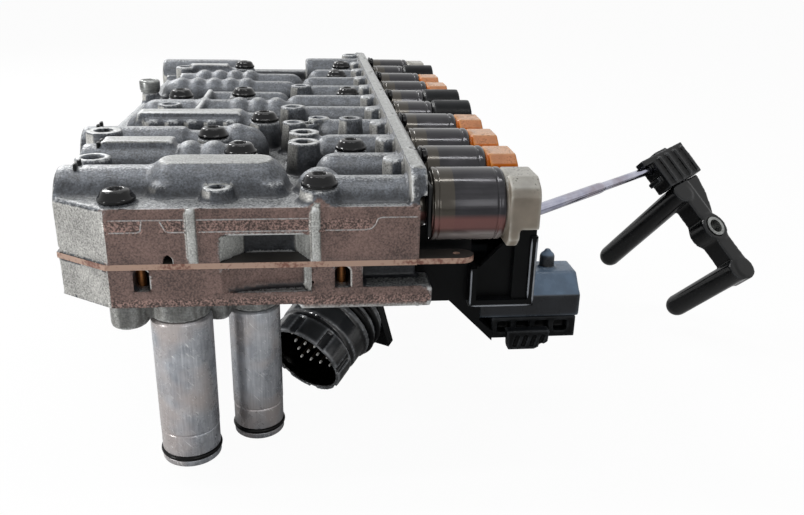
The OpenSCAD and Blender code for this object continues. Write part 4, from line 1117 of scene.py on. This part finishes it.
@dataclass
class LowerCasting(SoftCopy):
    """Lower casting: front windows, scoop, notch, foot and the sockets of the tubes."""

    # Scoop: sides, depths from the front, and foot; then the granular bottom edge and the cuts' margin.
    scoop_x: tuple[float, float] = (-7.5, 25.0)
    scoop_y: tuple[float, float] = (0.3, 6.5)
    scoop_z: float = 3.9
    edge_z: tuple[float, float] = (-0.4, 2.4)
    cut_slack: float = 1.2

    def hold(self, co: Array, no: Array) -> Array:
        """Outer faces stay crisp; the underside rounds."""
        return np.where(co[:, 2] < -0.4, 0.8, 0.35)

    def crisp(self, co: Array, no: Array) -> Array:
        """Sharpens the outline, the windows, the scoop and the notch."""
        flats = [(Z_AXIS, LOW_T), (Z_AXIS, 0.0), (Y_AXIS, FRONT)]
        co = self.to_planes(co, no, [*flats, (X_AXIS, SIDE)])
        co = self.to_corner(co, no, flats)
        s = self.cut_slack
        for x0, x1, z0, z1 in CUTS:
            px, py, pz = co.T
            near = between(px, (x0 - s, x1 + s)) & between(pz, (z0 - s, z1 + s)) & (py < FRONT + 2)
            sides = [(Y_AXIS, FRONT), (X_AXIS, x0), (X_AXIS, x1), (Z_AXIS, z0)]
            co[near] = self.to_planes(co[near], no[near], sides)
        return co

    def hidden(self, co: Array) -> Optional[Array]:
        """Joint face above, behind the front edge."""
        return (co[:, 2] > LOW_T - 0.3) & (co[:, 1] > FRONT + 8)

    def marks(self, mesh: Mesh, co: Array, no: Array) -> None:
        """Marks the granular bottom edge, the scoop's left-facing wall painted bright as light, and painted
        shade that deepens behind the front face in the windows and notch and lies on the scoop's ledge.
        """
        x, y, z = co.T
        scoop = between(x, self.scoop_x) & between(y - FRONT, self.scoop_y) & (z > self.scoop_z)
        # Painted light: the scoop's wall that faces left is marked bright.
        wall = scoop & (no[:, 0] < -0.5)
        back, ledge = scoop & (no[:, 1] < -0.5) & ~wall, scoop & (no[:, 2] > 0.5)
        plain = np.maximum(0.75 * (z < -0.5), 0.85 * (y > -FRONT - 0.7))
        note(mesh, "milled", np.maximum(plain, 1.8 * wall))
        note(mesh, "flash", (between(z, self.edge_z) & (y < FRONT + 0.9)).astype(float))
        note(mesh, "face", (back | (y < FRONT + 0.7)).astype(float))
        # Painted shade: darker the further behind the front face, and dark on the scoop's ledge.
        inside = (y < FRONT + 12) & (z > 3.5) & (co @ CORNER < CORNER_D - 1)
        shade = np.clip((y - FRONT - 0.6) / 4, 0, 1) * inside * 0.8
        note(mesh, "well", np.where(scoop, 0.95 * ledge, shade))


@dataclass
class FlashLines:
    """Thin bright lines that the die left on the front face, round the sheared band."""

    width: float = 0.24
    height: float = 0.2
    low: float = TOP_Z - 7.8
    high: float = TOP_Z - 3.7
    step: float = 0.5

    def build(self) -> Object:
        """Carries a small rounded section along each line.

        Returns:
            One object with all the lines.
        """
        z0, z1 = self.low, self.high
        lines = [
            [(-41, z0), (-31, z0), (-29.6, z0 + 0.4), (-29, z1 - 0.5), (-29.3, z1)],
            [(-23.6, z1), (-23, z1 - 1.2), (-21.8, z0 + 0.4), (-20.6, z0), (-15.4, z0)],
            [(-12.4, z0), (24.2, z0)], [(-41, z1), (-15.3, z1)], [(-12.4, z1), (24.2, z1)],
            [(27.2, z0), (42, z0), (44, z0 + 0.4), (45.4, z0 + 1.8), (46.2, z1 - 0.3), (47.6, z1 + 0.1),
             (59.4, z1 + 0.1)],
        ]
        section = ring(8) * (self.width, self.height)
        made = []
        for line in lines:
            x, z = np.asarray(line, float).T
            s = np.r_[0, np.cumsum(np.hypot(np.diff(x), np.diff(z)))]
            t = np.linspace(0, s[-1], max(8, int(s[-1] / self.step)))
            path = np.stack([np.interp(t, s, x), np.full(len(t), FRONT), np.interp(t, s, z)], 1)
            made.append(sweep(path + SHIFT, section, (0.0, -1.0, 0.0)))
        obj = to_object("flash_lines", *gather(made))
        marks = {"convex_edge": 0.5, "dip": 0.0, "milled": 0.0, "flash": 1.0, "well": 0.0, "face": 1.0}
        for name, value in marks.items():
            note(obj.data, name, np.full(len(obj.data.vertices), value))
        return enlist(obj, "upper_casting", Look.CAST, stands_for=False)


# Turned pieces.


def turned(name: str, node: str, look: Look, profile: Array, spots: Sequence, direction: Sequence[float],
           count: int, stands_for: bool = True) -> Object:
    """Turns one profile at one or more places and makes it a piece.

    Args:
        name: Name of the piece.
        node: Solid that it belongs to.
        look: Finish of its surface.
        profile: Rows of radius and height in millimetres.
        spots: Points of the axes in millimetres, in the part's frame.
        direction: Direction of the axes.
        count: Steps round each axis.
        stands_for: Whether it takes the solid's place.
    Returns:
        The new object.
    """
    made = gather([lathe(profile, spot, direction, count) for spot in spots])
    return enlist(to_object(name, *made), node, look, stands_for)


@dataclass
class Fasteners:
    """Flange bolts, strip screws and the ground stud."""

    flange_r: float = 6.1
    bolt_r: float = 3.0
    bolt_end: float = 3.5
    short: float = 3.0
    screw_x: float = 64.5
    screw_below: float = 3.0
    screw_rows: tuple[float, ...] = (0.62, 2.62, 4.62, 6.62, 8.62)

    def build(self) -> None:
        """Turns every fastener from its profile."""
        r, b = self.flange_r, self.bolt_r
        head = rounded([
            (0, -self.short), (b, -self.short), (b, 0.02), (r, 0.02), (r, 1.1), (r - 0.5, 1.5),
            (r - 1.2, 2.9), (r - 1.9, 3.7), (2.6, 4.05), (2.1, 3.5), (2.0, 2.9), (0, 2.7)], 0.3, 3)
        made = []
        for f, k, seat in BOLTS:
            depth = TOP_Z + seat - self.bolt_end
            whole = head.copy()
            whole[whole[:, 1] < 1 - self.short] -= (0.0, depth - self.short)
            made.append(lathe(whole, np.array([f * HALF, row(k), TOP_Z + seat]) + SHIFT, Z_AXIS, 48))
        enlist(to_object("flange_bolt_set", *gather(made)), "flange_bolts", Look.BOLT)
        screw = rounded([
            (0, -5.4), (2, -5.4), (2, 0), (3, 0), (3, 1.2), (2.2, 2), (0.9, 2), (0.8, 1.2), (0, 1.2)], 0.2, 2)
        spots = [np.array([self.screw_x, row(k), RAIL_Z - self.screw_below]) + SHIFT for k in self.screw_rows]
        turned("strip_screw_set", "strip_screws", Look.BOLT, screw, spots, X_AXIS, 32)
        low, high = box_mm("ground_stud")
        stud = rounded([
            (0, 0), (2.6, 0), (2.6, 11), (5, 11), (5, 12), (5.4, 12.4), (5.4, 16.6), (4.8, 17.4), (3.4, 17.4),
            (3, 16.4), (0, 16.2)], 0.25, 3)
        foot = (*(low + high)[:2] / 2, low[2])
        turned("ground_stud_turned", "ground_stud", Look.ZINC, stud, [foot], Z_AXIS, 48)


@dataclass
class Solenoids:
    """Ten drawn steel cans with rolled rims, and their moulded caps."""

    count: int = 10
    can_r: float = 12.6
    can_x: float = 65.0
    neck_x: float = 48.0
    beige: tuple[int, ...] = (1, 10)
    black: tuple[int, ...] = (5, 6, 9)
    near: int = 4

    def cap_look(self, k: int) -> Look:
        """Finish of one cap."""
        return Look.BEIGE if k in self.beige else Look.BLACK if k in self.black else Look.ORANGE

    def build(self) -> None:
        """Turns each can from the solid's own length and rounds each cap."""
        r, can, neck = self.can_r, self.can_x + SHIFT[0], self.neck_x + SHIFT[0]
        for k in range(1, self.count + 1):
            low, high = box_mm(f"solenoid_{k}")
            nose, end = low[0], high[0]
            profile = rounded([
                (0, nose), (4.3, nose), (5.1, nose + 1.2), (5.1, neck), (7.6, neck), (7.6, can - 2.4),
                (7.0, can - 2.4), (7.0, can - 0.6), (r - 1.4, can - 0.6), (r - 1.4, can - 0.1),
                (r - 0.3, can), (r, can + 0.5), (r, can + 1.5), (r - 0.25, can + 1.7), (r - 0.25, can + 1.9),
                (r, can + 2.1),
                (r, end - 3.2), (r - 0.3, end - 2.9), (r - 0.3, end - 2.5), (r, end - 2.2), (r, end - 1.0),
                (r - 0.5, end), (r - 2, end), (0, end)], 0.25, 2)
            origin = (0.0, (low[1] + high[1]) / 2, (low[2] + high[2]) / 2)
            turned(f"solenoid_can_{k}", f"solenoid_{k}", Look.CAN, profile, [origin], X_AXIS, 72)
            fine = 0.5 if k <= self.near else 0.65
            SoftCopy(f"cap_{k}", self.cap_look(k), fine, 3, 1.2).build()


@dataclass
class OilTubes:
    """Two turned oil tubes with lips, grooves and seals."""

    drop: float = 65.6
    lip: float = 2.4
    ring_r: float = 1.0
    ring_in: float = 1.5
    wall: float = 2.0
    bore_r: float = 5.0
    spigot_l: float = 8.5

    def build(self) -> None:
        """Turns both tubes and their seals."""
        for name, collar, spigot in (("a", 8.2, 7.2), ("b", 12.0, 6.2)):
            low, high = box_mm(f"oil_tube_{name}")
            r = (high[0] - low[0]) / 2
            at = ((low[0] + high[0]) / 2, (low[1] + high[1]) / 2, SHIFT[2])
            foot, groove = -self.drop, self.lip - self.drop
            ring_z, top = groove + self.ring_r, self.spigot_l - collar
            rear, inner, bore = groove + 2 * self.ring_r, r - self.wall, self.bore_r
            profile = rounded([
                (bore, top), (bore, -collar - 4), (inner, -collar - 8), (inner, foot), (r - 0.5, foot),
                (r, foot + 0.5), (r, groove), (r - self.ring_in, groove), (r - self.ring_in, rear),
                (r - 0.1, rear), (r - 0.1, ring_z + 9), (r - 0.35, ring_z + 9.2), (r - 0.35, ring_z + 9.6),
                (r, ring_z + 9.9), (r, -collar - 1), (r - 0.6, -collar), (spigot, -collar), (spigot, top),
                (bore, top)], 0.22, 3)
            profile[-1] = profile[0]
            turned(f"oil_tube_{name}_turned", f"oil_tube_{name}", Look.TUBE, profile, [at], Z_AXIS, 96)
            a = np.linspace(0, 2 * math.pi, 17)
            middle = r - self.ring_in + self.ring_r
            seal = np.stack([middle + self.ring_r * np.cos(a), ring_z + self.ring_r * np.sin(a)], 1)
            turned(f"tube_seal_{name}_ring", f"tube_seal_{name}", Look.RUBBER, seal, [at], Z_AXIS, 96)


@dataclass
class Conduit:
    """Bright drawn tube from the frame to the sensor, in two steps."""

    start: tuple[float, float, float] = (102.9, -115.6, 14.3)
    yaw: float = 36.4
    tilt: float = 2.0
    sleeve_l: float = 60.6
    lead_l: float = 110.6
    sleeve_r: float = 2.4
    tube_r: float = 1.95
    seat: float = 3.0

    def build(self) -> None:
        """Turns the sleeve and the tube along their common axis."""
        a, t = math.radians(self.yaw), math.radians(self.tilt)
        way = (math.cos(t) * math.cos(a), math.cos(t) * math.sin(a), math.sin(t))
        spots = [np.array(self.start) + SHIFT]
        s, p, end = self.sleeve_r, self.tube_r, self.sleeve_l
        sleeve = rounded([
            (0, -self.seat), (s, -self.seat), (s, end - 3), (s - 0.12, end - 1.2), (p + 0.15, end),
            (p + 0.05, end - 0.6), (0, end - 0.8)], 0.3, 3)
        tube = rounded([(0, end - 2), (p, end - 2), (p, self.lead_l), (0, self.lead_l)], 0.2, 3)
        turned("conduit_sleeve_drawn", "conduit_sleeve", Look.CHROME, sleeve, spots, way, 40)
        turned("conduit_drawn", "conduit", Look.CHROME, tube, spots, way, 40)


@dataclass
class ReturnSprings:
    """Three coil springs with closed ends."""

    count: int = 3
    turns: int = 6
    wire_r: float = 0.6
    end_pitch: float = 0.48
    keep: float = 0.7

    def build(self) -> None:
        """Winds each spring inside the box of its solid.

        P(t, v) = C(t) + w cos(v) R(t) + w sin(v) B(t): C winds round the bore's axis, with close turns at
        both ends, R points away from the axis and B is square to R and to the wire.
        """
        t = np.linspace(0, 1, self.turns * 32 + 1)
        pitch = np.where((t < 1 / self.turns) | (t > 1 - 1 / self.turns), self.end_pitch, 1.0)
        along = np.r_[0, np.cumsum((pitch[1:] + pitch[:-1]) / 2)]
        along = along / along[-1]
        turn = 2 * math.pi * self.turns * t
        out = np.stack([0 * turn, np.cos(turn), np.sin(turn)], 1)
        c, s = ring(10).T
        size = np.full(len(t), self.wire_r)
        size[[0, -1]] = 1e-4
        for i in range(1, self.count + 1):
            low, high = box_mm(f"spring_{i}")
            mid = (low + high) / 2
            line = mid + ((high[1] - low[1]) / 2 - self.wire_r) * out
            line[:, 0] = low[0] + self.wire_r + (high[0] - low[0] - 2 * self.wire_r) * along
            way = np.gradient(line, axis=0)
            side = np.cross(way / np.linalg.norm(way, axis=1)[:, None], out)
            pts = line[:, None] + size[:, None, None] * (c[None, :, None] * out[:, None]
                                                         + s[None, :, None] * side[:, None])
            obj = to_object(f"spring_coil_{i}", pts.reshape(-1, 3) * MM, quads(len(t), len(c)))
            enlist(obj, f"spring_{i}", Look.SPRING)
            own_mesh(obj)


# Moulded pieces.


# Foot of the round plug's axis in the casting's frame.
PLUG_AT = (37.9, -84.4, -36.1)


@dataclass
class PlugShell(SoftCopy):
    """Round plug whose mouth is painted dark as shade."""

    way: tuple[float, float, float] = (-0.554, -0.735, -0.391)
    mouth_r: float = 16.3
    floor: float = 10.6

    def marks(self, mesh: Mesh, co: Array, no: Array) -> None:
        """Marks the inside of the mouth, which the plastic paints dark as shade."""
        d = co - np.array(PLUG_AT)
        h = d @ np.array(self.way)
        rho = np.linalg.norm(d - h[:, None] * np.array(self.way), axis=1)
        note(mesh, "deep", ((rho < self.mouth_r) & (h > self.floor)).astype(float))


@dataclass
class FrameRims:
    """Pale lips on the front edges of the conductor frame: rubbed edges, which also stand for painted edge
    highlights.
    """

    y: float = -151.95
    radius: float = 0.32
    lines: tuple = (
        ((79.95, 8.0), (79.95, -6.15), (102.55, -6.15), (102.55, 19.4)),
        ((100.75, -4.0), (100.75, 19.4)))

    def build(self) -> None:
        """Carries a small round section along each edge."""
        section = self.radius * ring(10)
        t = np.linspace(0, 1, 12)[:, None]
        made = []
        for line in self.lines:
            x, z = np.asarray(line, float).T
            path = np.stack([x, np.full(len(x), self.y), z], 1)
            for a, b in zip(path[:-1], path[1:]):
                made.append(sweep(a + t * (b - a) + SHIFT, section, (0.0, -1.0, 0.0)))
        enlist(to_object("frame_rims", *gather(made)), "conductor_frame", Look.RIM, False)


@dataclass
class FrameWeb:
    """Black web at the front end of the conductor frame, between the casting and the first can. It stands
    partly for the frame's end and partly for shade in that gap: a dark sheet as painted shade.
    """

    x: tuple[float, float] = (60.4, 80.3)
    y: tuple[float, float] = (FRONT + 13.0, FRONT + 15.0)
    foot: float = -6.0
    under_neck: float = 22.4
    under_can: float = 17.3
    step: tuple[float, float] = (64.2, 65.0)

    def build(self) -> None:
        """Lofts an upright section along X.

        P(i, j) = (x(i), y(j), z(i, j)): the foot is level, and the top falls from under the neck to under
        the can. Both ends are drawn to a point.
        """
        (x0, x1), (s0, s1), (y0, y1) = self.x, self.step, self.y
        x = np.r_[x0, np.linspace(x0, s0, 5), np.linspace(s1, x1, 12), x1]
        top = np.interp(x, self.step, (self.under_neck, self.under_can))
        z = np.stack([0 * x + self.foot, 0 * x + self.foot, top, top], 1)
        y = np.broadcast_to(np.array([y0, y1, y1, y0]), z.shape).copy()
        for end in (0, -1):
            y[end], z[end] = y[end].mean(), z[end].mean()
        pts = np.stack([np.broadcast_to(x[:, None], z.shape), y, z], -1).reshape(-1, 3)
        obj = to_object("frame_end_web_and_shade", (pts + SHIFT) * MM, quads(*z.shape), smooth=False)
        enlist(obj, "conductor_frame", Look.BLACK, False)


@dataclass
class Mouldings:
    """Frame, module, plug, sensor and the strip, each with moulded edges."""

    voxels: dict[str, tuple[Look, float, int]] = field(default_factory=lambda: {
        "module_box": (Look.BOX, 0.6, 3), "module_tray": (Look.BLACK, 0.6, 2),
        "tray_plug": (Look.BLACK, 0.4, 2), "sensor_block": (Look.SENSOR, 0.45, 3),
        "sensor_body": (Look.SENSOR, 0.5, 5), "retainer_strip": (Look.SHEET, 0.7, 2),
        "plug_clips": (Look.SHEET, 0.4, 2)})

    def build(self) -> None:
        """Makes a soft copy of each moulded solid, then the frame's lips and end web."""
        for node, (look, voxel, rounds) in self.voxels.items():
            SoftCopy(node, look, voxel, rounds, 1.1).build()
        PlugShell("plug_shell", Look.PLUG, 0.55, 1, 1.8).build()
        FrameRims().build()
        FrameWeb().build()


@dataclass
class PlugPins:
    """Sixteen contact pins in the mouth of the round plug: dull shanks with bright tips."""

    yaw: float = 233.0
    tilt: float = 23.0
    root: float = 8.0
    end: float = 27.0
    tip_l: float = 1.3
    lap: float = 0.3
    radius: float = 0.5
    places: tuple[float, ...] = (-7.5, -2.5, 2.5, 7.5)

    def build(self) -> None:
        """Turns shanks and tips along the plug's axis."""
        b, g = math.radians(90 + self.tilt), math.radians(self.yaw)
        spin = np.array([[math.cos(g), -math.sin(g), 0], [math.sin(g), math.cos(g), 0], [0, 0, 1]])
        lean = np.array([[math.cos(b), 0, math.sin(b)], [0, 1, 0], [-math.sin(b), 0, math.cos(b)]])
        x, y, z = (spin @ lean).T
        r, end, neck = self.radius, self.end, self.end - self.tip_l
        shank = rounded([(0, self.root), (r, self.root), (r, neck), (0, neck)], 0.1, 2)
        foot = neck - self.lap
        tip = rounded([(0, foot), (r, foot), (r, end - 0.5), (r * 0.55, end), (0, end)], 0.15, 2)
        base = np.array(PLUG_AT) + SHIFT
        spots = [base + u * x + v * y for u in self.places for v in self.places]
        turned("plug_pin_shanks", "plug_pins", Look.SHANK, shank, spots, z, 16)
        turned("plug_pin_tips", "plug_pins", Look.PIN, tip, spots, z, 16, False)


@dataclass
class PlainSolids:
    """Solids whose own shape is right and which only take a finish."""

    looks: dict[str, Look] = field(default_factory=lambda: {
        "separator_plate": Look.PLATE, "locating_dowels": Look.DOWEL, "bore_plugs": Look.SPOOL,
        "plug_seals": Look.RUBBER, "sensor_bush": Look.ZINC, "conductor_frame": Look.BLACK,
        "spool_1": Look.SPOOL, "spool_2": Look.SPOOL, "spool_3": Look.SPOOL})

    def build(self) -> None:
        """Dresses each solid in place."""
        for node, look in self.looks.items():
            dress(frame["nodes"][node], look)
            LOG.info("%s keeps its solid, in %s", node, look.value.name)


# Studio.


@dataclass(frozen=True)
class Lamp:
    """One soft lamp: its place, where it points and its size, in metres, and its power in watts."""

    name: str
    at: tuple[float, float, float]
    aim: tuple[float, float, float]
    size: tuple[float, float]
    power: float

    def build(self) -> None:
        """Hangs the lamp."""
        data = bpy.data.lights.new(self.name, "AREA")
        data.shape = "RECTANGLE"
        data.size, data.size_y = self.size
        data.energy = self.power
        obj = place(self.name, data)
        obj.location = self.at
        obj.rotation_mode = "QUATERNION"
        obj.rotation_quaternion = (Vector(self.aim) - Vector(self.at)).to_track_quat("-Z", "Y")


@dataclass
class Studio:
    """White floor, soft lamps and the camera."""

    eye: tuple[float, float, float] = (44.2, -406.1, 113.1)
    yaw: float = 6.80
    pitch: float = 20.99
    roll: float = 1.38
    focal_px: float = 796.0
    width_px: float = 804.0
    sensor_mm: float = 36.0
    floor_half: float = 6.0
    floor_gap: float = 0.0002
    white: float = 0.96
    fill: float = 0.28
    lamps: tuple[Lamp, ...] = (
        Lamp("key", (-0.5, 0.1, 0.8), (0.0, -0.05, 0.0), (0.18, 0.18), 3.6),
        Lamp("strip", (0.1, -0.1, 0.85), (0.1, -0.1, 0.0), (0.6, 0.05), 2.0),
        Lamp("left", (-0.75, -0.5, 0.1), (-0.03, -0.12, 0.0), (0.07, 0.25), 2.6),
        Lamp("front", (0.35, -1.0, 0.3), (0.05, -0.1, 0.0), (0.3, 0.3), 0.8),
        Lamp("back", (-0.45, 0.75, 0.55), (0.02, 0.0, 0.0), (0.26, 0.26), 4.4))

    def build(self) -> None:
        """Makes the camera, the floor and the light."""
        self._camera()
        self._floor()
        self._world()
        for lamp in self.lamps:
            lamp.build()
        bpy.context.scene.view_settings.view_transform = "Standard"

    def _camera(self) -> None:
        """Sets the camera from its yaw, pitch and roll, with the lens from the focal length in pixels."""
        y, p, r = (math.radians(v) for v in (self.yaw, self.pitch, self.roll))
        ahead = np.array([math.sin(y) * math.cos(p), math.cos(y) * math.cos(p), -math.sin(p)])
        right = np.array([math.cos(y), -math.sin(y), 0.0])
        up = np.cross(right, ahead)
        right, up = math.cos(r) * right + math.sin(r) * up, -math.sin(r) * right + math.cos(r) * up
        turn = np.eye(4)
        turn[:3] = np.stack([right, up, -ahead, np.array(self.eye) * MM], 1)
        data = bpy.data.cameras.new("camera")
        data.sensor_width = self.sensor_mm
        data.sensor_fit = "HORIZONTAL"
        data.lens = self.sensor_mm * self.focal_px / self.width_px
        data.clip_start, data.clip_end = 0.01, 20.0
        obj = place("camera", data)
        obj.matrix_world = Matrix(turn.tolist())
        bpy.context.scene.camera = obj

    def _floor(self) -> None:
        """Lays a white floor that keeps a pale shadow."""
        z, s = float(CAD_BOX[0][2]) - self.floor_gap, self.floor_half
        mesh = bpy.data.meshes.new("floor")
        mesh.from_pydata([(-s, -s, z), (s, -s, z), (s, s, z), (-s, s, z)], [], [(0, 1, 2, 3)])
        obj = place("floor", mesh)
        mat = bpy.data.materials.new("floor_paper_white")
        mat.use_nodes = True
        tree = mat.node_tree
        tree.nodes.clear()
        ray = put(tree, "LightPath").outputs["Is Camera Ray"]
        paper = put(tree, "BsdfDiffuse", {"Color": linear("#f2f2f2")})
        glow = put(tree, "Emission", {"Color": (1, 1, 1, 1), "Strength": 1.0})
        seen = put(tree, "Math", {1: self.white}, {0: ray}, operation="MULTIPLY").outputs[0]
        mix = put(tree, "MixShader", links={0: seen, 1: paper.outputs[0], 2: glow.outputs[0]})
        put(tree, "OutputMaterial", links={"Surface": mix.outputs[0]})
        mesh.materials.append(mat)

    def _world(self) -> None:
        """White to the camera and in reflections, softer as light."""
        world = bpy.data.worlds.new("studio")
        bpy.context.scene.world = world
        world.use_nodes = True
        tree = world.node_tree
        tree.nodes.clear()
        rays = put(tree, "LightPath").outputs
        seen = rays["Is Camera Ray"]
        for kind in ("Is Transmission Ray", "Is Glossy Ray"):
            seen = put(tree, "Math", links={0: seen, 1: rays[kind]}, operation="MAXIMUM").outputs[0]
        level = put(tree, "MapRange", {1: 0.0, 2: 1.0, 3: self.fill, 4: 1.0}, {0: seen}).outputs[0]
        back = put(tree, "Background", {"Color": (1, 1, 1, 1)}, {"Strength": level})
        put(tree, "OutputWorld", links={"Surface": back.outputs[0]})


def main() -> None:
    """Builds the studio and every piece in order."""
    logging.basicConfig(level=logging.INFO, format="%(name)s %(message)s")
    Studio().build()
    UpperCasting("upper_casting", Look.CAST, 0.86, 5).build()
    LowerCasting("lower_casting", Look.CAST, 0.95, 3).build()
    for group in (FlashLines, Fasteners, Solenoids, OilTubes, Conduit, Mouldings, PlugPins, ReturnSprings,
                  PlainSolids):
        group().build()


if __name__ == "__main__":
    main()
